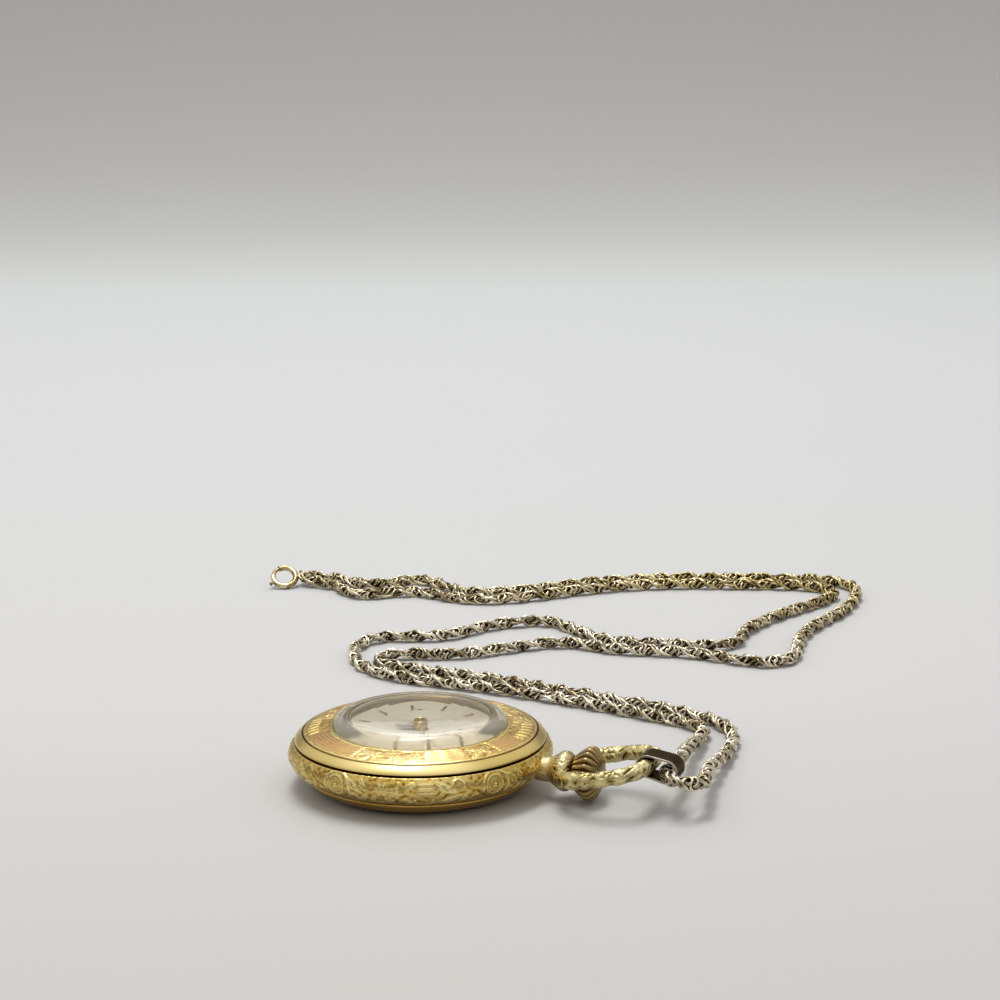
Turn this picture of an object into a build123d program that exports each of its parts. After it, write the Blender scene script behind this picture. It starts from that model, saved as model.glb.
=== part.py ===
from build123d import *
import math
import os

# Ladies' pendant watch with a hand-wound lever movement, lying on its back, on a doubled rope chain.
# Millimetres. Origin: middle of the case back's flat, the face that the watch lies on.
# +Z is up, out of the dial. +Y runs from the dial's centre to 12 o'clock, out along the pendant.
# +X is 3 o'clock.

# Driving dimensions: case
CASE_R = 16.0            # widest, at the body's waist
WAIST_Z = 4.0
LOWER_SEAM = (14.2, 1.85)
UPPER_SEAM = (15.2, 5.75)
CASE_BORE_R = 13.0
RING_EDGE = (14.07, 6.85)   # outer edge of the bezel's engraved ring
CRYSTAL_R = 10.5
CRYSTAL_SEAT_Z = 7.4
CRYSTAL_SHOULDER = (9.2, 8.95)
CRYSTAL_TOP_Z = 9.5
CRYSTAL_WALL = 0.9
BACK_RIM = (12.6, 0.35)
BACK_FLAT_R = 7.0
BACK_WALL = 0.5

# Driving dimensions: pendant, bow, crown, bail
PENDANT_Z = 3.45
NECK_R = 1.5
COLLAR_R = 2.45
COLLAR_Y = (17.3, 19.3)
BOW_PIVOT_Y = 18.4
BOW_WIRE_R = 0.85
BOW_LENGTH = 10.9        # pivot to the middle of the far bar's wire
BOW_HALF_WIDTH = 5.35    # to the middle of the wire
BOW_TILT = 11.2          # degrees, as it lies, far end up
BOW_PIN_R = 0.45
PIN_CLEARANCE = 0.03
CROWN_Y = (19.75, 23.2)
CROWN_R = 3.25
CROWN_RIBS = 28
STEM_R = 0.45
BAIL_WIDTH = 3.0
BAIL_THICKNESS = 0.3
BAIL_EYE_R = 1.1         # inside radius round the bow's wire
BAIL_NOSE_R = 1.2        # inside radius at the chain's end
BAIL_SPAN = 2.35         # between the centres of its two ends
BAIL_DROP = 12.0         # degrees, nose down

# Driving dimensions: movement
PLATE_R = 9.8
PLATE_Z = (4.25, 5.25)
BRIDGE_Z = (2.35, 2.75)
COCK_Z = (1.35, 1.75)
DIAL_Z = (6.25, 6.6)
DIAL_R = 10.3
PIVOT_R = 0.15
HOLE_R = 0.18
JEWEL_R = 0.42

# Driving dimensions: chain and clasp
CHAIN_D = 1.7
RING_R = 1.75            # spring ring, to the middle of its tube
RING_TUBE_R = 0.45
RING_LEAN = 40.0         # degrees from the floor
RING_CENTRE = (-81.9, -57.0)
RING_TURN = 30.0         # degrees, from +Y to the way that the eyelet points
EYELET_Y = 2.82          # from the spring ring's centre
JUMP_RING_R = 0.85
JUMP_WIRE_R = 0.17

os.makedirs("parts", exist_ok=True)


def save(node, shape):
    """Write one sub-part as parts/NODE.step."""
    shape.label = node
    export_step(shape, f"parts/{node}.step")


def spin(points):
    """Revolve a closed (radius, height) outline about Z."""
    face = make_face(Polyline(*[(r, 0, z) for r, z in points], close=True))
    return revolve(face, Axis.Z)


def rod(radius, length):
    """A round bar about Z, drawn with as many flat sides as its size needs."""
    sides = 10 if radius < 0.5 else 16 if radius < 1.5 else 28 if radius < 5 else 48
    return Pos(0, 0, -length / 2) * extrude(RegularPolygon(radius, sides), amount=length)


def disc(radius, z_low, z_high, at=(0, 0)):
    """A round between two heights."""
    return Pos(at[0], at[1], (z_low + z_high) / 2) * rod(radius, z_high - z_low)


def slab(points, z_low, z_high):
    """A flat outline, in XY, raised between two heights."""
    face = make_face(Polyline(*[(x, y) for x, y in points], close=True))
    return Pos(0, 0, z_low) * extrude(face, amount=z_high - z_low, dir=(0, 0, 1))


def polar(radius, degrees, at=(0, 0)):
    """The XY point at a radius and bearing from another."""
    angle = math.radians(degrees)
    return (at[0] + radius * math.cos(angle), at[1] + radius * math.sin(angle))


def along_y(shape, y=0.0, z=PENDANT_Z):
    """Turn a solid built along +Z so that it lies along +Y, at the pendant's height."""
    return Pos(0, y, z) * Rot(-90, 0, 0) * shape


def case_body_shape():
    """Middle of the case: a waisted band, bored for the stem."""
    outside = [LOWER_SEAM, (15.5, 2.8), (CASE_R - 0.05, 3.6), (CASE_R, WAIST_Z), (15.85, 4.9), UPPER_SEAM]
    inside = [(13.6, UPPER_SEAM[1]), (13.6, 5.0), (CASE_BORE_R, 5.0), (CASE_BORE_R, 2.6), (13.4, 2.6),
              (13.4, LOWER_SEAM[1])]
    return spin(outside + inside) - along_y(rod(0.75, 8), y=15)


def case_back_shape():
    """Snap-on back: shallow dome with a flat to lie on, a grooved rim and a snap lip."""
    outside = [
        (0, 0),
        (BACK_FLAT_R, 0),
        BACK_RIM,
        (13.75, 1.15),
        (LOWER_SEAM[0], LOWER_SEAM[1] - 0.02),
    ]
    inside = [
        (13.4, LOWER_SEAM[1] - 0.02),
        (13.4, 2.6),
        (12.9, 2.6),
        (12.1, BACK_RIM[1] + BACK_WALL),
        (0, BACK_WALL),
    ]
    return spin(outside + inside)


def bezel_shape():
    """Snap-on bezel: polished bevel, groove, then the broad ring that carries the engraving."""
    outline = [
        (UPPER_SEAM[0], UPPER_SEAM[1] + 0.02),
        (14.3, 6.7),
        (14.07, 6.7),
        RING_EDGE,
        (12.6, 7.25),
        (CRYSTAL_R + 0.02, CRYSTAL_SEAT_Z),
        (CRYSTAL_R + 0.02, 6.75),
        (9.7, 6.75),
        (9.7, 6.62),
        (12.9, 6.62),
        (13.0, 5.05),
        (13.58, 5.05),
        (13.58, UPPER_SEAM[1] + 0.02),
    ]
    return spin(outline)


def dome_points(radius, z_edge, z_top, steps=4):
    """Points up a spherical dome, from its edge to its top on the axis."""
    rise = z_top - z_edge
    sphere_r = (radius**2 + rise**2) / (2 * rise)
    edge = math.asin(radius / sphere_r)
    points = []
    for index in range(steps + 1):
        angle = edge * (1 - index / steps)
        points.append((sphere_r * math.sin(angle), z_top - sphere_r * (1 - math.cos(angle))))
    return points


def crystal_shape():
    """Domed acrylic crystal: steep side, rounded shoulder, shallow top, hollow below."""
    inner_r = CRYSTAL_R - CRYSTAL_WALL
    side = [(inner_r, 6.77), (CRYSTAL_R, 6.77), (CRYSTAL_R, 7.5), (10.1, 8.35), (9.83, 8.75)]
    dome = dome_points(*CRYSTAL_SHOULDER, CRYSTAL_TOP_Z)
    under = dome_points(8.6, 8.2, CRYSTAL_TOP_Z - 0.8, 2)
    return spin(side + dome + under[::-1] + [(9.3, 7.6)])


def pendant_shape(body):
    """Neck and beaded collar, soldered to the band, bored for the stem and socketed for the bow."""
    low, high = COLLAR_Y
    middle = (low + high) / 2
    outline = [
        (0.75, 15.0),
        (1.7, 15.0),
        (1.7, 16.1),
        (NECK_R, 16.7),
        (2.1, low),
        (COLLAR_R, middle),
        (2.0, high),
        (0.75, high),
    ]
    pendant = along_y(spin(outline)) - body
    sockets = Pos(0, BOW_PIVOT_Y, PENDANT_Z) * Rot(0, 90, 0) * rod(BOW_PIN_R + 2 * PIN_CLEARANCE, 8)
    stem_way = along_y(rod(1.3, 8), y=BOW_PIVOT_Y)
    return pendant - (sockets - stem_way)


def bow_path():
    """Half of the bow's outline and its mirror: corners and fillet radii, (across, along)."""
    half = [(3.9, 0), (BOW_HALF_WIDTH, 3.2), (BOW_HALF_WIDTH, 7.2), (3.6, BOW_LENGTH)]
    corners = half + [(-x, y) for x, y in reversed(half)]
    radii = [5.0, 6.0, 3.4, 3.4, 6.0, 5.0]
    return FilletPolyline(*[(x, y, 0) for x, y in corners], radius=radii)


def place_bow(shape):
    """From the bow's own plane, pivot at the origin, to where it lies."""
    return Pos(0, BOW_PIVOT_Y, PENDANT_Z) * Rot(BOW_TILT, 0, 0) * shape


def bow_shape():
    """Oval bow of round wire, whose two knobbed ends carry the pins that turn in the collar."""
    path = bow_path()
    section = Plane(origin=path @ 0, z_dir=path % 0) * RegularPolygon(BOW_WIRE_R, 10)
    wire = sweep(section, path=path)
    bow = wire
    knob = rod(1.1, 1.1) + Pos(0, 0, 0.85) * rod(0.8, 0.6)
    for side in (-1, 1):
        turned = Rot(0, 90 * side, 0)
        bow += Pos(side * 3.2, 0, 0) * turned * knob
        bow += Pos(side * 2.1, 0, 0) * turned * rod(BOW_PIN_R, 1.4)
    return place_bow(bow)


def star(radius, depth, count, z):
    """A ribbed outline: crests at the radius, valleys below it."""
    points = []
    for index in range(count * 2):
        r = radius if index % 2 == 0 else radius - depth
        x, y = polar(r, index * 180 / count)
        points.append((x, y, z))
    return make_face(Polyline(*points, close=True))


def crown_shape():
    """Onion crown: ribs that swell to the middle and close in at both ends."""
    low, high = CROWN_Y
    middle = 1.65
    stations = [
        (2.15, 0.10, 0.0),
        (CROWN_R, 0.28, middle),
        (2.75, 0.24, 2.65),
        (1.5, 0.12, high - low),
    ]
    sections = [star(r, depth, CROWN_RIBS, z) for r, depth, z in stations]
    onion = loft(sections, ruled=True)
    return along_y(onion - Pos(0, 0, 0.9) * rod(STEM_R, 1.8), y=low)


def stem_shape():
    """Winding stem: pivot, square for the sliding clutch, journal, lever groove, shank."""
    pieces = [
        (0.25, 4.6, 5.2),
        (0.40, 7.1, 8.8),
        (0.28, 8.8, 9.25),
        (STEM_R, 9.25, CROWN_Y[0] + 1.8),
    ]
    stem = along_y(Box(0.56, 0.56, 1.9), y=6.15)
    for radius, start, end in pieces:
        stem += along_y(rod(radius, end - start), y=(start + end) / 2)
    return stem


def bail_shape():
    """Folded strip loop: one end round the bow's far bar, the nose for the chain."""
    def loop(eye_r, nose_r):
        offset = math.degrees(math.asin((nose_r - eye_r) / BAIL_SPAN))
        top = 90 + offset
        a = polar(eye_r, top)
        b = polar(nose_r, top, (BAIL_SPAN, 0))
        c = (b[0], -b[1])
        d = (a[0], -a[1])
        eye = ThreePointArc(a, (-eye_r, 0), d)
        nose = ThreePointArc(c, (BAIL_SPAN + nose_r, 0), b)
        return make_face([eye, Line(d, c), nose, Line(b, a)])

    outer = loop(BAIL_EYE_R + BAIL_THICKNESS, BAIL_NOSE_R + BAIL_THICKNESS)
    strip = extrude(outer, amount=BAIL_WIDTH / 2, both=True)
    strip -= extrude(loop(BAIL_EYE_R, BAIL_NOSE_R), amount=BAIL_WIDTH, both=True)
    upright = Rot(0, 0, 90) * Rot(90, 0, 0) * strip
    hung = Rot(-BAIL_DROP, 0, 0) * upright
    tilt = math.radians(BOW_TILT)
    bar_y = BOW_PIVOT_Y + BOW_LENGTH * math.cos(tilt)
    bar_z = PENDANT_Z + BOW_LENGTH * math.sin(tilt)
    return Pos(0, bar_y, bar_z) * hung


def case_nodes():
    """Everything that shows: case, crystal, pendant, crown, bow, bail."""
    body = case_body_shape()
    save("case_body", body)
    save("case_back", case_back_shape())
    save("bezel", bezel_shape())
    save("crystal", crystal_shape())
    save("pendant", pendant_shape(body))
    save("bow", bow_shape())
    save("bail", bail_shape())
    save("crown", crown_shape())
    save("winding_stem", stem_shape())


case_nodes()

# Dial and hands
HOUR_TIME = 5 + 10 / 60
MINUTE_TIME = 10
HOUR_HAND = 3.8
MINUTE_HAND = 5.9
HOUR_HAND_Z = (6.86, 6.96)
MINUTE_HAND_Z = (7.22, 7.31)


def bearing(hours):
    """Bearing of an hour on the dial: 12 is along +Y, hours run clockwise."""
    return 90 - hours * 30


def hand(length, half_width, tail, bore_r, z_range, degrees):
    """Leaf-shaped hand with a round boss, pointing along a bearing."""
    outline = [
        (0, -0.22),
        (length * 0.42, -half_width),
        (length, -0.05),
        (length, 0.05),
        (length * 0.42, half_width),
        (0, 0.22),
        (-tail, 0.12),
        (-tail, -0.12),
    ]
    blade = slab(outline, *z_range) + disc(bore_r + 0.28, *z_range)
    return Rot(0, 0, degrees) * (blade - disc(bore_r, z_range[0] - 1, z_range[1] + 1))


def dial_nodes():
    """Dial plate, its raised bars and the two hands."""
    save("dial", disc(DIAL_R, *DIAL_Z) - disc(1.1, 5, 8))
    bars = []
    for hour in range(12):
        inner, outer, half_width = (5.6, 8.05, 0.27) if hour == 0 else (6.6, 8.05, 0.16)
        bar = Pos((inner + outer) / 2, 0, DIAL_Z[1] + 0.04) * Box(outer - inner, 2 * half_width, 0.08)
        bars.append(Rot(0, 0, bearing(hour)) * bar)
    save("hour_bars", Compound(children=bars))
    save("hour_hand", hand(HOUR_HAND, 0.5, 0.0, 0.9, HOUR_HAND_Z, bearing(HOUR_TIME)))
    save("minute_hand", hand(MINUTE_HAND, 0.2, 1.4, 0.62, MINUTE_HAND_Z, bearing(MINUTE_TIME / 5)))


dial_nodes()

# Going train. Wheel and pinion teeth, modules and places.
CENTRE = (0.0, 0.0)
BARREL_TEETH, CENTRE_LEAVES, BARREL_MODULE = 60, 10, 0.13
CENTRE_TEETH, THIRD_LEAVES, CENTRE_MODULE = 64, 8, 0.10
THIRD_TEETH, FOURTH_LEAVES, THIRD_MODULE = 60, 8, 0.09
FOURTH_TEETH, ESCAPE_LEAVES, FOURTH_MODULE = 60, 6, 0.08
ESCAPE_TEETH = 15
ESCAPE_R = 1.7


def centre_distance(teeth, leaves, module):
    """Distance between the axes of two meshed gears."""
    return (teeth + leaves) * module / 2


BARREL = polar(centre_distance(BARREL_TEETH, CENTRE_LEAVES, BARREL_MODULE), 165)
THIRD = polar(centre_distance(CENTRE_TEETH, THIRD_LEAVES, CENTRE_MODULE), 20)
FOURTH = polar(centre_distance(THIRD_TEETH, FOURTH_LEAVES, THIRD_MODULE), -68, THIRD)
ESCAPE = polar(centre_distance(FOURTH_TEETH, ESCAPE_LEAVES, FOURTH_MODULE), -130, FOURTH)
PALLET = polar(ESCAPE_R / math.cos(math.radians(30)), -151, ESCAPE)
BALANCE = polar(2.62, -151, PALLET)
BALANCE_R = 3.1


def gear(teeth, module, z_low, z_high, at=CENTRE, phase=0.0):
    """Spur gear with straight-sided teeth, pointed on a large wheel; phase is one tooth's bearing."""
    pitch_r = teeth * module / 2
    tip_r = pitch_r + 0.9 * module
    root_r = pitch_r - 1.15 * module
    pitch = 360 / teeth
    points = []
    for index in range(teeth):
        middle = phase + index * pitch
        if teeth > 30:
            points.append(polar(root_r, middle - 0.5 * pitch, at))
            points.append(polar(tip_r, middle, at))
            continue
        points.append(polar(root_r, middle - 0.30 * pitch, at))
        points.append(polar(tip_r, middle - 0.12 * pitch, at))
        points.append(polar(tip_r, middle + 0.12 * pitch, at))
        points.append(polar(root_r, middle + 0.30 * pitch, at))
    return slab(points, z_low, z_high)


def in_mesh(place, teeth, phase, other_place, other_teeth):
    """Phase of the other gear that puts its gap on this gear's tooth."""
    toward = math.degrees(math.atan2(other_place[1] - place[1], other_place[0] - place[0]))
    offset = (phase - toward) % (360 / teeth)
    return toward + 180 - offset * teeth / other_teeth + 180 / other_teeth


def arms(wheel, rim_r, hub_r, count, z_low, z_high, at, phase):
    """Cut windows that leave straight arms between hub and rim."""
    gap = 360 / count
    for index in range(count):
        start = phase + index * gap
        edge_low = math.degrees(0.16 / rim_r)
        edge_hub = math.degrees(0.16 / hub_r)
        steps = 3
        span = gap - 2 * edge_low
        outline = [polar(rim_r, start + edge_low + span * k / steps, at) for k in range(steps + 1)]
        outline.append(polar(hub_r, start + gap - edge_hub, at))
        outline.append(polar(hub_r, start + edge_hub, at))
        wheel -= slab(outline, z_low - 0.1, z_high + 0.1)
    return wheel


def arbor(at, sections):
    """Turned arbor from (radius, low, high) sections."""
    shaft = None
    for radius, low, high in sections:
        piece = disc(radius, low, high, at)
        shaft = piece if shaft is None else shaft + piece
    return shaft


def pivoted(at, body_r, low, high):
    """Arbor with a thin pivot at each end, in the bridge's and the plate's holes."""
    return arbor(at, [(PIVOT_R, BRIDGE_Z[0] + 0.05, low), (body_r, low, high), (PIVOT_R, high, PLATE_Z[0] + 0.5)])


def spiral(at, inner_r, outer_r, turns, thickness, z_low, z_high, start=0.0, steps=12):
    """Flat spiral spring of rectangular section, drawn as straight chords."""
    outside = []
    inside = []
    count = int(turns * steps)
    for index in range(count + 1):
        r = inner_r + (outer_r - inner_r) * index / count
        angle = start + 360 * index / steps
        outside.append(polar(r + thickness / 2, angle, at))
        inside.append(polar(r - thickness / 2, angle, at))
    return slab(outside + inside[::-1], z_low, z_high)


def barrel_nodes(centre_phase):
    """Toothed barrel, mainspring and arbor."""
    phase = in_mesh(CENTRE, CENTRE_LEAVES, centre_phase, BARREL, BARREL_TEETH)
    drum = gear(BARREL_TEETH, BARREL_MODULE, 2.85, 3.15, BARREL, phase)
    drum += disc(3.5, 2.85, 3.75, BARREL)
    drum -= disc(3.3, 2.97, 3.63, BARREL)
    drum -= disc(0.54, 2, 4, BARREL)
    save("barrel", drum)
    save("mainspring", spiral(BARREL, 1.25, 3.15, 6, 0.09, 3.02, 3.58))
    save("barrel_arbor", arbor(BARREL, [(0.5, 2.32, 3.0), (0.95, 3.0, 3.6), (0.5, 3.6, 3.85), (0.36, 3.85, 4.9)]))


def train_nodes():
    """Centre, third, fourth and escape wheels with their pinions, each turned in place to mesh."""
    centre_phase = 0.0
    centre = gear(CENTRE_TEETH, CENTRE_MODULE, 3.86, 4.08, CENTRE, centre_phase)
    centre = arms(centre, 2.75, 0.75, 4, 3.86, 4.08, CENTRE, 10)
    centre += gear(CENTRE_LEAVES, BARREL_MODULE, 2.82, 3.86, CENTRE, centre_phase)
    centre += arbor(CENTRE, [(0.3, 2.4, 2.82), (0.4, 4.08, 4.2), (0.3, 4.2, 7.3)])
    save("centre_wheel", centre)
    barrel_nodes(centre_phase)

    third_phase = in_mesh(CENTRE, CENTRE_TEETH, centre_phase, THIRD, THIRD_LEAVES)
    third = gear(THIRD_TEETH, THIRD_MODULE, 3.36, 3.56, THIRD, third_phase)
    third = arms(third, 2.3, 0.5, 4, 3.36, 3.56, THIRD, 30)
    third += gear(THIRD_LEAVES, CENTRE_MODULE, 3.56, 4.14, THIRD, third_phase)
    third += pivoted(THIRD, 0.22, 2.85, 4.18)
    save("third_wheel", third)

    fourth_phase = in_mesh(THIRD, THIRD_TEETH, third_phase, FOURTH, FOURTH_LEAVES)
    fourth = gear(FOURTH_TEETH, FOURTH_MODULE, 2.86, 3.04, FOURTH, fourth_phase)
    fourth = arms(fourth, 2.05, 0.45, 4, 2.86, 3.04, FOURTH, 55)
    fourth += gear(FOURTH_LEAVES, THIRD_MODULE, 3.04, 3.62, FOURTH, fourth_phase)
    fourth += pivoted(FOURTH, 0.2, 2.8, 4.18)
    save("fourth_wheel", fourth)

    escape_phase = in_mesh(FOURTH, FOURTH_TEETH, fourth_phase, ESCAPE, ESCAPE_LEAVES)
    pitch = 360 / ESCAPE_TEETH
    outline = []
    for index in range(ESCAPE_TEETH):
        heel = 11 + index * pitch
        outline.append(polar(ESCAPE_R - 0.42, heel, ESCAPE))
        outline.append(polar(ESCAPE_R - 0.06, heel + 4, ESCAPE))
        outline.append(polar(ESCAPE_R, heel + 8, ESCAPE))
        outline.append(polar(ESCAPE_R - 0.42, heel + 9.5, ESCAPE))
    escape = arms(slab(outline, 3.36, 3.48), 1.1, 0.4, 4, 3.36, 3.48, ESCAPE, 20)
    escape += gear(ESCAPE_LEAVES, FOURTH_MODULE, 2.82, 3.36, ESCAPE, escape_phase)
    escape += pivoted(ESCAPE, 0.15, 2.78, 4.18)
    save("escape_wheel", escape)


train_nodes()


def escapement_nodes():
    """Lever with its two stones, balance with roller and pin, and the hairspring."""
    line = -151                      # bearing of the line escape, lever, balance
    def local(x, y):
        c, s = math.cos(math.radians(line)), math.sin(math.radians(line))
        return (PALLET[0] + x * c - y * s, PALLET[1] + x * s + y * c)

    lever = [
        (0.0, 0.28), (0.0, 1.12), (-0.28, 1.2), (-0.5, 1.02), (-0.34, 0.4), (-0.34, -0.4),
        (-0.5, -1.02), (-0.28, -1.2), (0.0, -1.12), (0.0, -0.28), (0.4, -0.13),
        (1.75, -0.09), (1.95, -0.26), (2.28, -0.26), (2.28, -0.13), (2.08, -0.11), (2.08, 0.11),
        (2.28, 0.13), (2.28, 0.26), (1.95, 0.26), (1.75, 0.09), (0.4, 0.13),
    ]
    fork = slab([local(x, y) for x, y in lever], 3.52, 3.64)
    fork += arbor(PALLET, [(PIVOT_R, 2.8, 3.2), (0.17, 3.2, 4.2), (PIVOT_R, 4.2, PLATE_Z[0] + 0.5)])
    stones = []
    for side in (-1, 1):
        corner = [(-0.56, 0.87), (-0.49, 0.75), (-0.10, 0.975), (-0.17, 1.095)]
        stones.append(slab([local(x, side * y) for x, y in corner], 3.36, 3.6))
    fork -= stones
    save("pallet_fork", fork)
    save("pallet_stones", Compound(children=stones))

    rim = disc(BALANCE_R, 2.3, 2.6, BALANCE) - disc(BALANCE_R - 0.3, 2, 3, BALANCE)
    bar = Pos(BALANCE[0], BALANCE[1], 2.45) * Rot(0, 0, 25) * Box(2 * BALANCE_R - 0.4, 0.4, 0.16)
    wheel = rim + bar + disc(0.55, 3.06, 3.2, BALANCE)
    wheel += arbor(BALANCE, [(0.1, COCK_Z[0] + 0.05, 1.85), (0.22, 1.85, 4.1), (0.1, 4.1, PLATE_Z[0] + 0.5)])
    pin = polar(0.42, line + 180, BALANCE)
    wheel += disc(0.07, 3.2, 3.64, pin)
    save("balance_wheel", wheel)
    save("hairspring", spiral(BALANCE, 0.4, 1.9, 6, 0.05, 2.02, 2.14, start=40))


escapement_nodes()

# Motion work under the dial
CANNON_LEAVES, MINUTE_TEETH, CANNON_MODULE = 12, 36, 0.12
MINUTE_LEAVES, HOUR_TEETH = 10, 40
MINUTE_PLACE = polar(centre_distance(CANNON_LEAVES, MINUTE_TEETH, CANNON_MODULE), 60)
HOUR_MODULE = 2 * math.dist(CENTRE, MINUTE_PLACE) / (MINUTE_LEAVES + HOUR_TEETH)
SETTING_TEETH = 16
SETTING_PLACE = polar(centre_distance(MINUTE_TEETH, SETTING_TEETH, CANNON_MODULE), 111.4, MINUTE_PLACE)
MINUTE_Z = (5.36, 5.54)
HOUR_Z = (5.66, 5.84)


def motion_nodes():
    """Cannon pinion, minute wheel, hour wheel and setting wheel."""
    cannon = gear(CANNON_LEAVES, CANNON_MODULE, 5.32, 5.6, CENTRE, 0)
    cannon += disc(0.6, 5.6, 7.4)
    save("cannon_pinion", cannon - disc(0.32, 5, 8))
    minute_phase = in_mesh(CENTRE, CANNON_LEAVES, 0, MINUTE_PLACE, MINUTE_TEETH)
    minute = gear(MINUTE_TEETH, CANNON_MODULE, *MINUTE_Z, MINUTE_PLACE, minute_phase)
    minute += gear(MINUTE_LEAVES, HOUR_MODULE, MINUTE_Z[1], 5.9, MINUTE_PLACE, minute_phase)
    save("minute_wheel", minute - disc(0.27, 5, 7, MINUTE_PLACE))
    hour_phase = in_mesh(MINUTE_PLACE, MINUTE_LEAVES, minute_phase, CENTRE, HOUR_TEETH)
    hour = gear(HOUR_TEETH, HOUR_MODULE, *HOUR_Z, CENTRE, hour_phase)
    hour += disc(0.88, HOUR_Z[0], 7.05)
    save("hour_wheel", hour - disc(0.64, 5, 8))
    setting_phase = in_mesh(MINUTE_PLACE, MINUTE_TEETH, minute_phase, SETTING_PLACE, SETTING_TEETH)
    setting = gear(SETTING_TEETH, CANNON_MODULE, *MINUTE_Z, SETTING_PLACE, setting_phase)
    save("setting_wheel", setting - disc(0.27, 5, 7, SETTING_PLACE))


motion_nodes()

# Winding work
PINION_Y = (7.3, 8.5)
CLUTCH_Y = (5.6, 6.9)
WINDING_TEETH, WINDING_MODULE = 12, 0.16
CROWN_WHEEL_PLACE = (0.0, 5.75)
CROWN_WHEEL_TEETH, RATCHET_TEETH = 22, 36
RATCHET_MODULE = 2 * math.dist(CROWN_WHEEL_PLACE, BARREL) / (CROWN_WHEEL_TEETH + RATCHET_TEETH)
RATCHET_Z = (1.95, 2.28)
CLICK_PLACE = (-7.82, -1.95)


def winding_nodes():
    """Winding pinion, clutch, crown wheel, ratchet wheel, click, levers."""
    pinion = gear(WINDING_TEETH, WINDING_MODULE, 0, PINION_Y[1] - PINION_Y[0])
    save("winding_pinion", along_y(pinion - rod(0.44, 8), y=PINION_Y[0]))
    clutch = rod(0.82, CLUTCH_Y[1] - CLUTCH_Y[0])
    clutch -= rod(1.2, 0.4) - rod(0.58, 0.4)
    clutch -= Box(0.6, 0.6, 4)
    save("sliding_clutch", along_y(clutch, y=sum(CLUTCH_Y) / 2))

    crown_wheel = gear(CROWN_WHEEL_TEETH, RATCHET_MODULE, *RATCHET_Z, CROWN_WHEEL_PLACE, 90)
    save("crown_wheel", crown_wheel - disc(0.62, 1, 3, CROWN_WHEEL_PLACE))
    phase = in_mesh(CROWN_WHEEL_PLACE, CROWN_WHEEL_TEETH, 90, BARREL, RATCHET_TEETH)
    ratchet = gear(RATCHET_TEETH, RATCHET_MODULE, *RATCHET_Z, BARREL, phase)
    save("ratchet_wheel", ratchet - disc(0.3, 1, 3, BARREL))
    head = disc(0.85, 1.72, RATCHET_Z[0], BARREL) - Pos(BARREL[0], BARREL[1], 1.74) * Box(1.7, 0.18, 0.12)
    save("ratchet_screw", head + disc(0.3, RATCHET_Z[0], 2.31, BARREL))
    cap = disc(0.9, 1.72, RATCHET_Z[0], CROWN_WHEEL_PLACE)
    cap -= Pos(CROWN_WHEEL_PLACE[0], CROWN_WHEEL_PLACE[1], 1.74) * Rot(0, 0, 35) * Box(1.8, 0.18, 0.12)
    save("crown_wheel_screw", cap + disc(0.6, RATCHET_Z[0], BRIDGE_Z[0], CROWN_WHEEL_PLACE))

    x, y = CLICK_PLACE
    beak = [(x - 0.45, y - 0.1), (x + 0.1, y - 0.45), (x + 0.55, y - 0.2), (x + 0.62, y + 0.12), (x, y + 0.5)]
    click = slab(beak, *RATCHET_Z) - disc(0.22, 1, 3, CLICK_PLACE)
    save("click", click)
    stud = disc(0.2, 1.8, BRIDGE_Z[0], CLICK_PLACE) + disc(0.4, 1.75, 1.93, CLICK_PLACE)
    save("click_screw", stud)


winding_nodes()

SETTING_LEVER_PLACE = (2.5, 8.0)
YOKE_PLACE = (2.9, 5.6)


def keyless_nodes():
    """Setting lever in the stem's groove and yoke in the clutch's groove."""
    x, y = SETTING_LEVER_PLACE
    lever = slab([(x - 0.1, y - 0.7), (x + 0.7, y - 0.5), (x + 0.6, y + 0.6), (0.5, 9.35), (0.2, 9.12), (0.4, 8.75)],
                 3.98, 4.2)
    lever -= disc(0.27, 3, 5, SETTING_LEVER_PLACE)
    save("setting_lever", lever + disc(0.14, 3.76, 3.98, (0.42, 9.04)))
    x, y = YOKE_PLACE
    middle = sum(CLUTCH_Y) / 2
    yoke = slab([(x - 0.5, y - 0.6), (x + 0.5, y - 0.4), (x + 0.45, y + 0.5), (1.0, middle + 0.12),
                 (0.7, middle + 0.11), (0.7, middle - 0.11), (1.0, middle - 0.14)], 3.5, 3.7)
    save("yoke", yoke - disc(0.27, 3, 5, YOKE_PLACE))


keyless_nodes()


def ring_foot(inner_r, from_deg, to_deg, z_low, z_high, outer_r=9.6, steps=10):
    """Raised foot of a bridge along the plate's edge."""
    span = to_deg - from_deg
    outside = [polar(outer_r, from_deg + span * k / steps) for k in range(steps + 1)]
    inside = [polar(inner_r, to_deg - span * k / steps) for k in range(steps + 1)]
    return slab(outside + inside, z_low, z_high)


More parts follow.
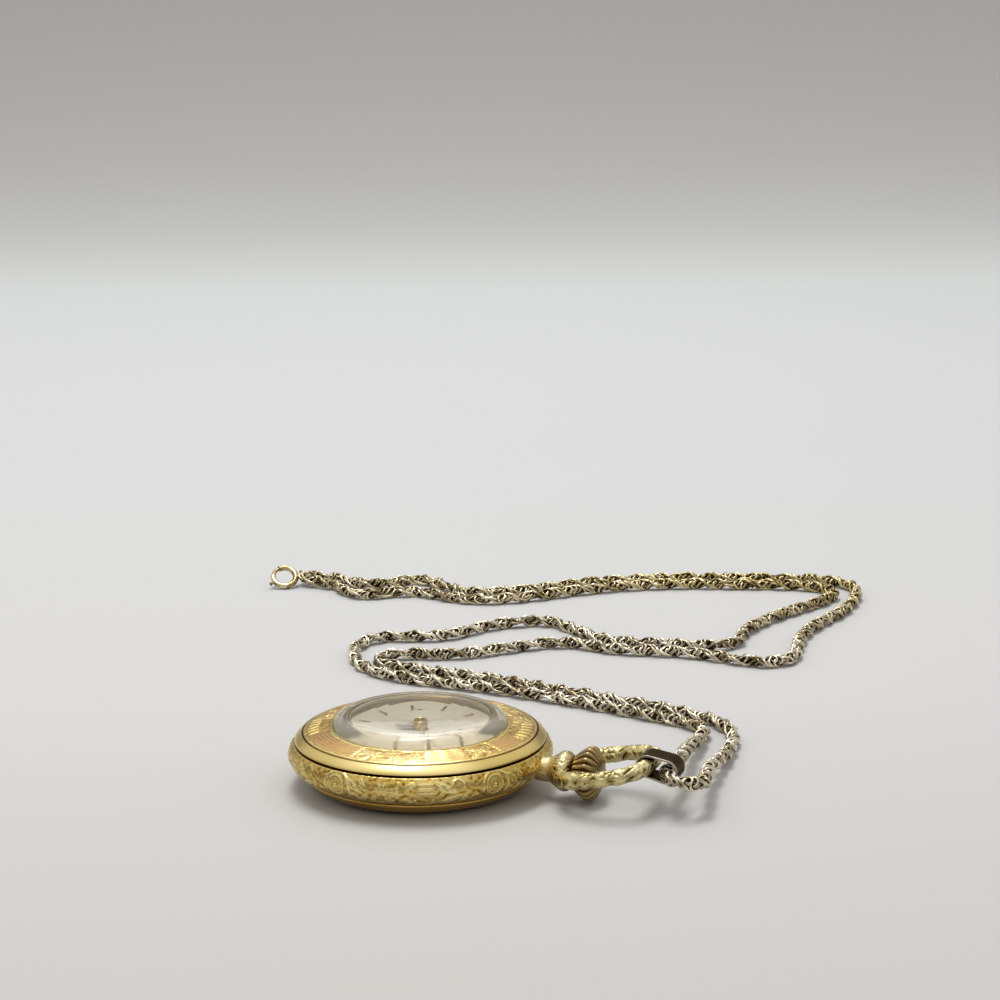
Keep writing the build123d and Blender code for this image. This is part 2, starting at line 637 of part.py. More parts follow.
def frame_nodes():
    """Main plate, bridges and cocks, with jewels set in them and screws that hold them."""
    stem_slot = Pos(0, 9, PENDANT_Z) * Box(2.7, 10, 2.5)
    posts = disc(0.25, PLATE_Z[1], 6.1, MINUTE_PLACE) + disc(0.25, PLATE_Z[1], 5.75, SETTING_PLACE)
    for place in (SETTING_LEVER_PLACE, YOKE_PLACE):
        posts += disc(0.25, 3.4, PLATE_Z[0], place)
    plate = disc(PLATE_R, *PLATE_Z) - stem_slot + posts
    plate -= disc(0.42, 3, 6)
    plate -= disc(0.38, 3, 6, BARREL)
    train = (THIRD, FOURTH, ESCAPE, PALLET, BALANCE)
    jewel_low = PLATE_Z[0]
    for place in train:
        plate -= disc(JEWEL_R, jewel_low - 0.1, jewel_low + 0.3, place)
        plate -= disc(HOLE_R, jewel_low, 5.0, place)
    save("main_plate", plate)

    barrel_bridge = ring_foot(0.01, 78, 205, *BRIDGE_Z)
    barrel_bridge += ring_foot(8.75, 103, 190, BRIDGE_Z[1], PLATE_Z[0])
    barrel_bridge -= disc(0.53, 2, 3, BARREL)
    barrel_bridge -= Pos(0, 8.1, 2.5) * Box(2.5, 1.9, 1)
    barrel_bridge -= Pos(0, 5.85, 2.69) * Box(1.4, 2.6, 0.2)
    barrel_bridge -= disc(0.62, 2, 3)
    save("barrel_bridge", barrel_bridge)

    train_bridge = ring_foot(0.75, -72, 62, *BRIDGE_Z)
    train_bridge -= disc(BALANCE_R + 0.25, 2, 3, BALANCE)
    train_bridge -= disc(1.7, 2, 3, PALLET)
    train_bridge += ring_foot(8.0, -50, 50, BRIDGE_Z[1], PLATE_Z[0])
    for place in (THIRD, FOURTH, ESCAPE):
        train_bridge -= disc(JEWEL_R, 2, 3, place)
    save("train_bridge", train_bridge)

    foot = polar(8.0, -138)
    arm = slab([polar(0.9, -90, foot), polar(0.9, 90, foot), polar(0.75, 90, BALANCE), polar(0.75, -90, BALANCE)],
               *COCK_Z)
    cock = arm + disc(0.9, *COCK_Z, BALANCE) + disc(1.15, COCK_Z[0], PLATE_Z[0], foot)
    cock -= disc(JEWEL_R, COCK_Z[0] + 0.1, COCK_Z[1], BALANCE)
    save("balance_cock", cock)

    pallet_foot = (2.9, -6.75)
    pallet_arm = slab([polar(0.55, -135, pallet_foot), polar(0.55, 45, pallet_foot), polar(0.5, 45, PALLET),
                       polar(0.5, -135, PALLET)], 2.78, 3.02)
    pallet_cock = pallet_arm + disc(0.55, 2.78, 3.02, PALLET) + disc(0.62, 2.78, PLATE_Z[0], pallet_foot)
    save("pallet_cock", pallet_cock - disc(HOLE_R, 2, 3.1, PALLET))

    jewels = []
    for place in train:
        jewels.append(disc(JEWEL_R, jewel_low, jewel_low + 0.3, place) - disc(HOLE_R, 4, 5, place))
    for place in (THIRD, FOURTH, ESCAPE):
        jewels.append(disc(JEWEL_R, *BRIDGE_Z, place) - disc(HOLE_R, 2, 3, place))
    jewels.append(disc(JEWEL_R, COCK_Z[0] + 0.1, COCK_Z[1], BALANCE) - disc(0.13, 1, 2, BALANCE))
    save("jewels", Compound(children=jewels))

    screws = []
    for place, top in ((polar(9.1, 120), BRIDGE_Z[0]), (polar(9.1, 178), BRIDGE_Z[0]),
                       (polar(8.8, -40), BRIDGE_Z[0]), (polar(8.8, 38), BRIDGE_Z[0]), (foot, COCK_Z[0])):
        head = disc(0.45, top - 0.3, top, place)
        screws.append(head - Pos(place[0], place[1], top - 0.28) * Box(0.9, 0.14, 0.14))
    save("bridge_screws", Compound(children=screws))

    holder = disc(CASE_BORE_R - 0.05, 3.3, 5.0) - disc(PLATE_R + 0.03, 3, 6)
    holder += disc(12.8, 5.0, 6.2) - disc(PLATE_R + 0.03, 4, 7)
    save("movement_ring", holder - Pos(0, 11, PENDANT_Z) * Box(3.2, 6, 2.2))


frame_nodes()

# Chain: two strands of one loose rope chain, from the bail to the jump ring, as plain tubes.
# Each is (x, y, z), chosen along the line where the strand lies.
LIE = CHAIN_D / 2
NEAR_STRAND = [
    (-1.7, 32.9, 3.9), (-7.0, 33.3, 3.1), (-12.5, 33.3, 2.2), (-18.0, 32.9, 1.4), (-23.5, 32.2, LIE),
    (-29.0, 31.0, LIE), (-33.2, 27.8, LIE), (-35.8, 22.2, LIE), (-37.2, 15.8, LIE), (-38.6, 9.0, LIE),
    (-40.1, 2.6, LIE), (-41.4, -4.0, LIE), (-42.3, -10.6, LIE), (-42.8, -16.6, LIE), (-43.4, -21.0, LIE),
    (-44.2, -25.4, LIE), (-48.6, -25.6, LIE), (-50.4, -21.0, LIE), (-51.6, -16.4, LIE), (-55.4, -12.0, LIE),
    (-60.2, -8.0, LIE), (-63.4, -2.8, LIE), (-61.4, 3.4, LIE), (-62.6, 9.4, LIE), (-63.4, 15.2, LIE),
    (-62.2, 21.2, LIE), (-61.6, 26.2, LIE), (-64.8, 29.4, LIE), (-70.4, 28.2, LIE), (-77.4, 27.1, LIE),
    (-84.6, 27.7, LIE), (-91.2, 29.4, LIE), (-97.8, 29.6, LIE), (-104.2, 29.0, LIE), (-109.4, 26.0, LIE),
    (-109.6, 19.8, LIE), (-107.8, 13.4, LIE), (-105.9, 7.0, LIE), (-103.8, 0.4, LIE), (-100.6, -5.8, LIE),
    (-96.8, -11.8, LIE), (-91.6, -16.6, LIE), (-86.8, -21.8, LIE), (-84.6, -27.4, LIE), (-87.2, -31.8, LIE),
    (-90.2, -35.8, LIE), (-88.8, -39.6, LIE), (-85.0, -41.8, LIE), (-84.4, -45.6, LIE), (-86.4, -49.4, LIE),
    (-85.15, -53.6, 1.35),
]
FAR_STRAND = [
    (-1.7, 31.0, 4.5), (-7.4, 30.3, 3.9), (-13.0, 29.3, 3.1), (-18.6, 28.4, 2.1), (-24.2, 27.9, 1.2),
    (-30.0, 27.0, LIE), (-32.2, 22.4, LIE), (-33.5, 16.6, LIE), (-35.1, 10.4, LIE), (-36.5, 4.2, LIE),
    (-37.4, -2.0, LIE), (-38.2, -8.2, LIE), (-38.3, -14.6, LIE), (-38.9, -20.2, LIE), (-41.4, -25.8, LIE),
    (-46.0, -29.4, LIE), (-51.8, -31.6, LIE), (-57.4, -30.2, LIE), (-58.8, -24.8, LIE), (-61.0, -20.6, LIE),
    (-65.8, -18.6, LIE), (-70.6, -15.2, LIE), (-73.4, -9.8, LIE), (-70.2, -5.2, LIE), (-66.8, -0.6, LIE),
    (-65.2, 5.0, LIE), (-66.8, 11.0, LIE), (-67.5, 16.6, LIE), (-70.4, 19.8, LIE), (-75.4, 18.6, LIE),
    (-80.8, 19.3, LIE), (-86.8, 20.8, LIE), (-92.2, 23.1, LIE), (-97.8, 25.5, LIE), (-102.9, 26.0, LIE),
    (-105.7, 21.9, LIE), (-104.8, 16.2, LIE), (-102.8, 9.9, LIE), (-101.0, 3.2, LIE), (-98.2, -3.2, LIE),
    (-94.2, -9.2, LIE), (-88.8, -14.4, LIE), (-83.6, -19.4, LIE), (-81.0, -25.2, LIE), (-81.6, -30.2, LIE),
    (-83.4, -34.4, LIE), (-81.4, -38.4, LIE), (-78.2, -41.8, LIE), (-79.6, -45.6, LIE), (-83.0, -48.4, LIE),
    (-83.2, -52.8, 1.35),
]


def corner_radii(points):
    """Radius of each corner's arc: 0.45 of the shorter run over the tangent of half the turn."""
    radii = []
    for before, here, after in zip(points, points[1:], points[2:]):
        run_in = Vector(*here) - Vector(*before)
        run_out = Vector(*after) - Vector(*here)
        turn = run_in.get_angle(run_out)
        shorter = min(run_in.length, run_out.length)
        radii.append(0.45 * shorter / math.tan(math.radians(turn / 2)))
    return radii


def strand(node, points):
    """Six-sided tube along straight runs joined by tangent arcs."""
    radii = corner_radii(points)
    path = FilletPolyline(*points, radius=radii)
    section = Plane(origin=path @ 0, z_dir=path % 0) * RegularPolygon(CHAIN_D / 2, 6)
    tube = sweep(section, path=path)
    ratio = tube.volume / (section.area * path.length)
    smallest = ", ".join(f"{r:.1f}" for r in sorted(radii)[:6])
    print(f"{node}: length {path.length:.1f} mm, volume ratio {ratio:.4f}, smallest radii {smallest}")
    save(node, tube)


strand("chain_near_strand", NEAR_STRAND)
strand("chain_far_strand", FAR_STRAND)

# Spring ring clasp
GAP_START, GAP_END = 25.0, 80.0
BOLT_START = 15.0
BOLT_END = 150.0
TRIGGER_AT = 118.0
TRIGGER_TRAVEL = 36.0


def place_clasp(shape):
    """From the ring's own plane, with the eyelet along +Y, to where the clasp leans."""
    height = RING_TUBE_R + RING_R * math.sin(math.radians(RING_LEAN))
    return Pos(RING_CENTRE[0], RING_CENTRE[1], height) * Rot(0, 0, RING_TURN) * Rot(0, RING_LEAN, 0) * shape


def ring_sector(radius, start, end, hub=RING_R):
    """Part of a ring of faceted section, between two bearings."""
    section = Pos(hub, 0, 0) * Rot(90, 0, 0) * RegularPolygon(radius, 6)
    return Rot(0, 0, start) * revolve(section, Axis.Z, end - start)


def clasp_nodes():
    """Hollow ring with eyelet, the sprung bolt with its knob, the spring and the jump ring."""
    body = ring_sector(RING_TUBE_R, GAP_END, 360 + GAP_START) - ring_sector(0.33, GAP_END - 1, 350)
    body -= ring_sector(0.33, 361, 361 + GAP_START)
    slot_section = Pos(RING_R + 0.5, 0, 0) * Rot(90, 0, 0) * Rectangle(1.0, 0.3)
    body -= Rot(0, 0, TRIGGER_AT - 8) * revolve(slot_section, Axis.Z, TRIGGER_TRAVEL + 16)
    eyelet = Pos(0, -EYELET_Y, 0) * (rod(0.7, 0.34) - rod(0.34, 1))
    tail = Rot(0, 0, 180) * (body + eyelet)
    save("clasp_body", place_clasp(tail))
    bolt = ring_sector(0.28, GAP_START - 6, BOLT_END)
    knob_at = polar(RING_R + 0.72, TRIGGER_AT)
    bolt += Pos(knob_at[0], knob_at[1], 0) * Rot(0, 0, TRIGGER_AT) * Rot(0, 90, 0) * rod(0.28, 0.44)
    stalk_at = polar(RING_R + 0.35, TRIGGER_AT)
    bolt += Pos(stalk_at[0], stalk_at[1], 0) * Rot(0, 0, TRIGGER_AT) * Rot(0, 90, 0) * rod(0.11, 0.6)
    save("clasp_bolt", place_clasp(Rot(0, 0, 180) * bolt))
    spring = ring_sector(0.22, BOLT_END + TRIGGER_TRAVEL + 6, 340)
    save("clasp_spring", place_clasp(Rot(0, 0, 180) * spring))
    jump = Pos(0, EYELET_Y + JUMP_RING_R, 0) * Rot(0, 90, 0) * ring_sector(JUMP_WIRE_R, 0, 360, JUMP_RING_R)
    save("jump_ring", place_clasp(jump))


clasp_nodes()
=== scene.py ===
# %% [markdown]
# A ladies' pendant watch lies on its back on a pale table, with its rope chain doubled behind it.
# The case is gold-plated brass, stamped with scrolls and leaves, and the plating has worn and darkened.
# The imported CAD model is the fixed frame: every piece made here goes where the CAD says, in metres.

# %% Frame, units and libraries
import math

import bmesh
import bpy
import numpy as np
from mathutils import Matrix


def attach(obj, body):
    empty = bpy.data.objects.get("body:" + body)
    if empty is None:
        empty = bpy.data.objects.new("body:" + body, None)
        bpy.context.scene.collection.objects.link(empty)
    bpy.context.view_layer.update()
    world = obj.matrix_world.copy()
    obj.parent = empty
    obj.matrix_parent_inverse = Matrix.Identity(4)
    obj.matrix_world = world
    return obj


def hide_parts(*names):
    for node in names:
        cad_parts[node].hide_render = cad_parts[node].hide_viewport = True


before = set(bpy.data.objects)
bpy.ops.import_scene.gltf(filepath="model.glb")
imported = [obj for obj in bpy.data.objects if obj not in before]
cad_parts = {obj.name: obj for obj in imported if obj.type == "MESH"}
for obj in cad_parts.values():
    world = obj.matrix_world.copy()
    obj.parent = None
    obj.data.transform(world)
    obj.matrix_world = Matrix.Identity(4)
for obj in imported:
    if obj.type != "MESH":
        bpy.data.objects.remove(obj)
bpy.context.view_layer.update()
MM = 0.001

# %% [markdown]
# Colours are picked as sRGB hex values, the way that a paint chart gives them.
# The renderer works in linear light, so one function turns each of them.
# A second function adds any shader node with its settings, its socket values and its links.
# A third turns the size of a grain in millimetres to the scale that a noise node asks for.

# %% Colour and shader helpers
def linear(code):
    """sRGB hex to linear: c/12.92 when c is small, else ((c + 0.055)/1.055) to the power 2.4."""
    channels = np.array([int(code[start:start + 2], 16) for start in (1, 3, 5)]) / 255
    bright = ((channels + 0.055) / 1.055) ** 2.4
    return (*np.where(channels <= 0.04045, channels / 12.92, bright), 1.0)


def node(tree, kind, values=None, links=None, stops=None, **settings):
    """Add a node: settings are its own properties, values and links go to its sockets."""
    made = tree.nodes.new(kind)
    for name, value in settings.items():
        setattr(made, name, value)
    for socket, value in (values or {}).items():
        made.inputs[socket].default_value = value
    for socket, source in (links or {}).items():
        tree.links.new(source, made.inputs[socket])
    if stops:
        points = made.color_ramp.elements
        while len(points) < len(stops):
            points.new(0.5)
        for point, (place, code) in zip(points, stops):
            point.position = place
            point.color = linear(code)
    return made


def grain(size):
    """Scale of a noise whose blobs are about as big as a size in millimetres: one over that size."""
    return 1 / (size * MM)


def new_finish(name, colour, metallic, roughness):
    """A material with its main shader set, ready for a pattern: material, tree, shader."""
    made = bpy.data.materials.new(name)
    made.use_nodes = True
    shader = made.node_tree.nodes["Principled BSDF"]
    shader.inputs["Base Color"].default_value = linear(colour)
    shader.inputs["Metallic"].default_value = metallic
    shader.inputs["Roughness"].default_value = roughness
    return made, made.node_tree, shader


# %% [markdown]
# Almost every piece is a grid of points: rows along one direction, columns along the other.
# Where the grid runs round, its last column joins its first. Where it ends in a point, the row's
# points fall together, and merging them closes the skin. Then the faces are turned outwards.

# %% Grid meshes
def grid_quads(rows, columns, round_rows=False, round_columns=True):
    """Quads between neighbours of a grid whose point number is row times columns plus column."""
    row, column = np.meshgrid(
        np.arange(rows if round_rows else rows - 1),
        np.arange(columns if round_columns else columns - 1),
        indexing="ij",
    )
    next_row = (row + 1) % rows
    next_column = (column + 1) % columns
    corners = [
        row * columns + column,
        row * columns + next_column,
        next_row * columns + next_column,
        next_row * columns + column,
    ]
    return np.stack(corners, axis=-1).reshape(-1, 4)


def make_piece(name, points, quads, body, finish, relief=None, smooth=True, **marks):
    """Points in millimetres and quads become a closed mesh that rides on a body, with its marks."""
    mesh = bpy.data.meshes.new(name)
    mesh.from_pydata((np.reshape(points, (-1, 3)) * MM).tolist(), [], np.asarray(quads).tolist())
    if relief is not None:
        marks["relief"] = relief
    for mark, values in marks.items():
        layer = mesh.attributes.new(mark, "FLOAT", "POINT")
        layer.data.foreach_set("value", np.ravel(values).astype(np.float32))
    shell = bmesh.new()
    shell.from_mesh(mesh)
    bmesh.ops.remove_doubles(shell, verts=shell.verts, dist=1e-7)
    bmesh.ops.recalc_face_normals(shell, faces=shell.faces)
    shell.to_mesh(mesh)
    shell.free()
    mesh.polygons.foreach_set("use_smooth", np.full(len(mesh.polygons), smooth))
    mesh.materials.append(finish)
    piece = bpy.data.objects.new(name, mesh)
    bpy.context.scene.collection.objects.link(piece)
    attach(piece, body)
    print(f"{name}: {len(mesh.polygons)} faces")
    return piece


def joined(parts):
    """Several (points, quads) skins as one, by shifting each one's point numbers."""
    counts = np.cumsum([0] + [len(np.reshape(points, (-1, 3))) for points, _ in parts])
    points = np.concatenate([np.reshape(points, (-1, 3)) for points, _ in parts])
    quads = np.concatenate([quads + start for (_, quads), start in zip(parts, counts)])
    return points, quads


# %% [markdown]
# The camera comes first: the picture is seen through it.
# It stands low, in front of 3 o'clock, and looks over the case along the chain.
# Its aim is built from three angles: a bearing on the table, a pitch down, and a small roll.

# %% Camera
CAMERA_AT = np.array([287.76, 121.04, 103.85])
BEARING = math.radians(21)
PITCH = math.radians(12.456)
ROLL = math.radians(0.577)
LENS_MM = 97.2
SENSOR_MM = 36

away = np.array([-math.cos(BEARING), -math.sin(BEARING), 0.0])
level_right = np.array([-math.sin(BEARING), math.cos(BEARING), 0.0])
ahead = math.cos(PITCH) * away - np.array([0.0, 0.0, math.sin(PITCH)])
upwards = np.cross(level_right, ahead)
camera_x = math.cos(ROLL) * level_right - math.sin(ROLL) * upwards
camera_y = math.sin(ROLL) * level_right + math.cos(ROLL) * upwards

lens = bpy.data.cameras.new("Camera")
lens.lens = LENS_MM
lens.sensor_width = SENSOR_MM
lens.sensor_fit = "HORIZONTAL"
lens.clip_start = 0.01
camera = bpy.data.objects.new("Camera", lens)
bpy.context.scene.collection.objects.link(camera)
placed = np.column_stack([camera_x, camera_y, -ahead, CAMERA_AT * MM])
camera.matrix_world = Matrix([*placed.tolist(), [0, 0, 0, 1]])
bpy.context.scene.camera = camera
print("camera distance, mm:", round(float(np.linalg.norm(CAMERA_AT)), 1))

# %% [markdown]
# The chain is one loose rope chain, passed through the bail and doubled, so it lies as two strands.
# Each strand's line is a smooth spline whose control points are listed, in millimetres, and
# along the table they are those of the CAD tube. At the bail the near strand comes out on
# 3 o'clock's side and turns back round the bail's nose.

# %% Strand routes
CHAIN_D = 1.7
LIE = CHAIN_D / 2

NEAR_STRAND = [
    (-0.9, 31.0, 4.9), (1.2, 31.0, 4.8), (2.5, 32.5, 4.6), (2.4, 34.4, 4.3), (0.8, 35.6, 4.0),
    (-1.6, 35.3, 3.6), (-7.0, 33.9, 3.0), (-12.5, 33.3, 2.2),
    (-18.0, 32.9, 1.4), (-23.5, 32.2, LIE), (-29.0, 31.0, LIE), (-33.2, 27.8, LIE), (-35.8, 22.2, LIE),
    (-37.2, 15.8, LIE), (-38.6, 9.0, LIE), (-40.1, 2.6, LIE), (-41.4, -4.0, LIE), (-42.3, -10.6, LIE),
    (-42.8, -16.6, LIE), (-43.4, -21.0, LIE), (-44.2, -25.4, LIE), (-48.6, -25.6, LIE), (-50.4, -21.0, LIE),
    (-51.6, -16.4, LIE), (-55.4, -12.0, LIE), (-60.2, -8.0, LIE), (-63.4, -2.8, LIE), (-61.4, 3.4, LIE),
    (-62.6, 9.4, LIE), (-63.4, 15.2, LIE), (-62.2, 21.2, LIE), (-61.6, 26.2, LIE), (-64.8, 29.4, LIE),
    (-70.4, 28.2, LIE), (-77.4, 27.1, LIE), (-84.6, 27.7, LIE), (-91.2, 29.4, LIE), (-97.8, 29.6, LIE),
    (-104.2, 29.0, LIE), (-109.4, 26.0, LIE), (-109.6, 19.8, LIE), (-107.8, 13.4, LIE), (-105.9, 7.0, LIE),
    (-103.8, 0.4, LIE), (-100.6, -5.8, LIE), (-96.8, -11.8, LIE), (-91.6, -16.6, LIE), (-86.8, -21.8, LIE),
    (-84.6, -27.4, LIE), (-87.2, -31.8, LIE), (-90.2, -35.8, LIE), (-88.8, -39.6, LIE), (-85.0, -41.8, LIE),
    (-84.4, -45.6, LIE), (-86.4, -49.4, LIE), (-85.9, -53.0, 1.1), (-84.3, -55.5, 1.5),
]
FAR_STRAND = [
    (-1.2, 31.05, 4.87), (-2.6, 30.9, 4.5), (-7.4, 30.3, 3.9), (-13.0, 29.3, 3.1), (-18.6, 28.4, 2.1),
    (-24.2, 27.9, 1.2), (-30.0, 27.0, LIE), (-32.2, 22.4, LIE), (-33.5, 16.6, LIE), (-35.1, 10.4, LIE),
    (-36.5, 4.2, LIE), (-37.4, -2.0, LIE), (-38.2, -8.2, LIE), (-38.3, -14.6, LIE), (-38.9, -20.2, LIE),
    (-41.4, -25.8, LIE), (-46.0, -29.4, LIE), (-51.8, -31.6, LIE), (-57.4, -30.2, LIE), (-58.8, -24.8, LIE),
    (-61.0, -20.6, LIE), (-65.8, -18.6, LIE), (-70.6, -15.2, LIE), (-73.4, -9.8, LIE), (-70.2, -5.2, LIE),
    (-66.8, -0.6, LIE), (-65.2, 5.0, LIE), (-66.8, 11.0, LIE), (-67.5, 16.6, LIE), (-70.4, 19.8, LIE),
    (-75.4, 18.6, LIE), (-80.8, 19.3, LIE), (-86.8, 20.8, LIE), (-92.2, 23.1, LIE), (-97.8, 25.5, LIE),
    (-102.9, 26.0, LIE), (-105.7, 21.9, LIE), (-104.8, 16.2, LIE), (-102.8, 9.9, LIE), (-101.0, 3.2, LIE),
    (-98.2, -3.2, LIE), (-94.2, -9.2, LIE), (-88.8, -14.4, LIE), (-83.6, -19.4, LIE), (-81.0, -25.2, LIE),
    (-81.6, -30.2, LIE), (-83.4, -34.4, LIE), (-81.4, -38.4, LIE), (-78.2, -41.8, LIE), (-79.6, -45.6, LIE),
    (-83.0, -48.4, LIE), (-82.8, -52.2, 1.1), (-83.6, -55.4, 1.5),
]


def strand_line(name, route):
    """A quadratic spline that has the route as its control points, read as points in millimetres."""
    curve = bpy.data.curves.new(name, "CURVE")
    curve.dimensions = "3D"
    curve.resolution_u = 16
    spline = curve.splines.new("NURBS")
    spline.points.add(len(route) - 1)
    for point, place in zip(spline.points, route):
        point.co = (*(MM * value for value in place), 1)
    spline.order_u = 3
    spline.use_endpoint_u = True
    holder = bpy.data.objects.new(name, curve)
    line = bpy.data.meshes.new_from_object(holder)
    flat = np.empty(len(line.vertices) * 3)
    line.vertices.foreach_get("co", flat)
    bpy.data.objects.remove(holder)
    return flat.reshape(-1, 3) / MM


def line_length(line):
    """Sum of the distances between neighbours."""
    return float(np.linalg.norm(np.diff(line, axis=0), axis=1).sum())


near_line = strand_line("near_route", NEAR_STRAND)
far_line = strand_line("far_route", FAR_STRAND)
print("strand lengths, mm:", round(line_length(near_line), 1), round(line_length(far_line), 1))

# %% [markdown]
# A rope chain is made of hundreds of small oval wire links, each through several of its neighbours.
# What the eye reads is a row of short bright strokes that lean one way and then the other.
# So each link here is one thin oval ring, tilted to the chain's line, and each next one is turned a
# little more than half way round it. That makes two helices of leaning links, with waves between
# them. Real links vary, so place, roll and lean do too. All links are worked out as one array.

# %% Chain links
LINK_LENGTH = 2.2
LINK_WIDTH = 1.45
LINK_WIRE_R = 0.18
LINK_PITCH = 0.36
LINK_TILT = math.radians(26)
LINK_TWIST = math.radians(197)
LINK_OFF_LINE = 0.2
PLACE_JITTER = 0.05
ROLL_JITTER = 0.35
LEAN_JITTER = 0.2
TABLE_GAP = 0.02


def carried(line, places, near=0.2):
    """Points and directions along a line at given distances: place, along, sideways, up.
    Along is the way from a point a little behind to one as far ahead; sideways is level."""
    steps = np.linalg.norm(np.diff(line, axis=0), axis=1)
    reached = np.concatenate([[0], np.cumsum(steps)])
    at = np.stack([np.interp(places, reached, line[:, axis]) for axis in range(3)], axis=1)
    ahead_of = np.stack([np.interp(places + near, reached, line[:, axis]) for axis in range(3)], axis=1)
    behind = np.stack([np.interp(places - near, reached, line[:, axis]) for axis in range(3)], axis=1)
    along = ahead_of - behind
    along /= np.linalg.norm(along, axis=1, keepdims=True)
    sideways = np.cross([0.0, 0.0, 1.0], along)
    sideways /= np.linalg.norm(sideways, axis=1, keepdims=True)
    return at, along, sideways, np.cross(along, sideways)


def link_ring(around=13, across=6):
    """An ellipse with a circle of wire carried round it: points, the way each one faces, quads."""
    turn = np.linspace(0, 2 * math.pi, around, endpoint=False)[:, None]
    wire = np.linspace(0, 2 * math.pi, across, endpoint=False)[None, :]
    half_length = LINK_LENGTH / 2 - LINK_WIRE_R
    half_width = LINK_WIDTH / 2 - LINK_WIRE_R
    out = np.stack([np.cos(turn) * half_width, np.sin(turn) * half_length], axis=-1)
    out /= np.linalg.norm(out, axis=-1, keepdims=True)
    x = half_length * np.cos(turn) + LINK_WIRE_R * np.cos(wire) * out[..., 0]
    y = half_width * np.sin(turn) + LINK_WIRE_R * np.cos(wire) * out[..., 1]
    z = LINK_WIRE_R * np.sin(wire) + 0 * turn
    points = np.stack([x, y, z], axis=-1)
    middle = np.stack([half_length * np.cos(turn), half_width * np.sin(turn), 0 * turn], axis=-1)
    facing = (points - middle) / LINK_WIRE_R
    return points.reshape(-1, 3), facing.reshape(-1, 3), grid_quads(around, across, round_rows=True)


def link_strand(line, seed):
    """Links along a line, each turned on by the twist: points, quads, and where the wire crowns.
    A point is on a crown where it is far from the strand's line and faces away from it. This mark is
    painted light: high for a painted highlight on the crowns, low for painted shade in the gaps."""
    ring, facing, quads = link_ring()
    places = np.arange(LINK_LENGTH * 0.35, line_length(line) - LINK_LENGTH * 0.3, LINK_PITCH)
    random = np.random.default_rng(seed)
    places = places + random.normal(0, PLACE_JITTER, len(places))
    at, along, sideways, up = carried(line, places)
    roll = np.arange(len(places)) * LINK_TWIST + random.normal(0, ROLL_JITTER, len(places))
    lean = LINK_TILT + random.normal(0, LEAN_JITTER, len(places))
    across_a = np.cos(roll)[:, None] * sideways + np.sin(roll)[:, None] * up
    across_b = np.cross(along, across_a)
    link_x = np.cos(lean)[:, None] * along + np.sin(lean)[:, None] * across_b
    link_z = np.cross(link_x, across_a)
    turned = np.stack([link_x, across_a, link_z], axis=1)
    from_line = np.einsum("pc,kcd->kpd", ring, turned) + LINK_OFF_LINE * across_a[:, None, :]
    points = at[:, None, :] + from_line
    points[..., 2] = np.maximum(points[..., 2], TABLE_GAP)
    shift = (np.arange(len(places)) * len(ring))[:, None, None]
    # The crown mark is painted light: a painted highlight where the wire is far from the line and faces out,
    # painted shade in the gaps between links.
    run = np.sum(from_line * along[:, None, :], axis=-1, keepdims=True)
    out = from_line - run * along[:, None, :]
    reach = np.linalg.norm(out, axis=-1)
    turned_out = np.sum(np.einsum("pc,kcd->kpd", facing, turned) * out, axis=-1) / (reach + 0.05)
    crown_light_and_shade = np.clip((reach - 0.2) / 0.5, 0, 1) * np.clip(0.45 + 0.75 * turned_out, 0, 1)
    return points, (quads[None] + shift).reshape(-1, 4), crown_light_and_shade


near_points, near_quads, near_crown_light_and_shade = link_strand(near_line, 3)
far_points, far_quads, far_crown_light_and_shade = link_strand(far_line, 8)
print("links:", len(near_points), "and", len(far_points))

# %% [markdown]
# The chain is nickel silver wire, drawn and soldered. Hands and air have left a warm brown tarnish in
# its hollows. In place of ambient occlusion the links store where their crowns are, as relief, and one
# ramp reads it: it paints shade into the gaps between links, along with the tarnish, and paints
# highlights on the wire's crowns. A noise as coarse as a link's length dulls some links more than
# others, and the far end has more of a yellow film.

# %% Chain finish
FILM_FROM_X = -70
FILM_FULL_X = -105

chain_finish, tree, shader = new_finish("Drawn nickel silver, tarnished, painted light and shade", "#B5AC9A", 1.0, 0.25)
where = node(tree, "ShaderNodeTexCoord")
crown_light_and_shade = node(tree, "ShaderNodeAttribute", attribute_name="relief")
# This ramp paints shade, with tarnish, into the gaps between links and paints a highlight on the crowns.
wire_tarnish_and_painted_light = node(
    tree, "ShaderNodeValToRGB", links={"Fac": crown_light_and_shade.outputs["Fac"]},
    stops=[(0.0, "#5E533C"), (0.35, "#94886E"), (0.75, "#EDE5D2")],
)
tarnish = node(
    tree, "ShaderNodeTexNoise", {"Scale": grain(2.38), "Detail": 3.0}, {"Vector": where.outputs["Object"]}
)
tarnish_colour = node(
    tree, "ShaderNodeValToRGB", links={"Fac": tarnish.outputs["Fac"]},
    stops=[(0.34, "#A49A86"), (0.56, "#FFFFFF")],
)
wire_mix = node(
    tree, "ShaderNodeMix", {0: 1.0}, {6: wire_tarnish_and_painted_light.outputs["Color"], 7: tarnish_colour.outputs["Color"]},
    data_type="RGBA", blend_type="MULTIPLY",
)
from_bail = node(tree, "ShaderNodeSeparateXYZ", links={"Vector": where.outputs["Object"]})
film_share = node(
    tree, "ShaderNodeMapRange", {"From Min": FILM_FROM_X * MM, "From Max": FILM_FULL_X * MM},
    {"Value": from_bail.outputs["X"]},
)
film_colour = node(
    tree, "ShaderNodeValToRGB", links={"Fac": film_share.outputs["Result"]},
    stops=[(0.0, "#FFFBF4"), (1.0, "#EFE3B8")],
)
film_mix = node(
    tree, "ShaderNodeMix", {0: 1.0}, {6: wire_mix.outputs[2], 7: film_colour.outputs["Color"]},
    data_type="RGBA", blend_type="MULTIPLY",
)
tree.links.new(film_mix.outputs[2], shader.inputs["Base Color"])
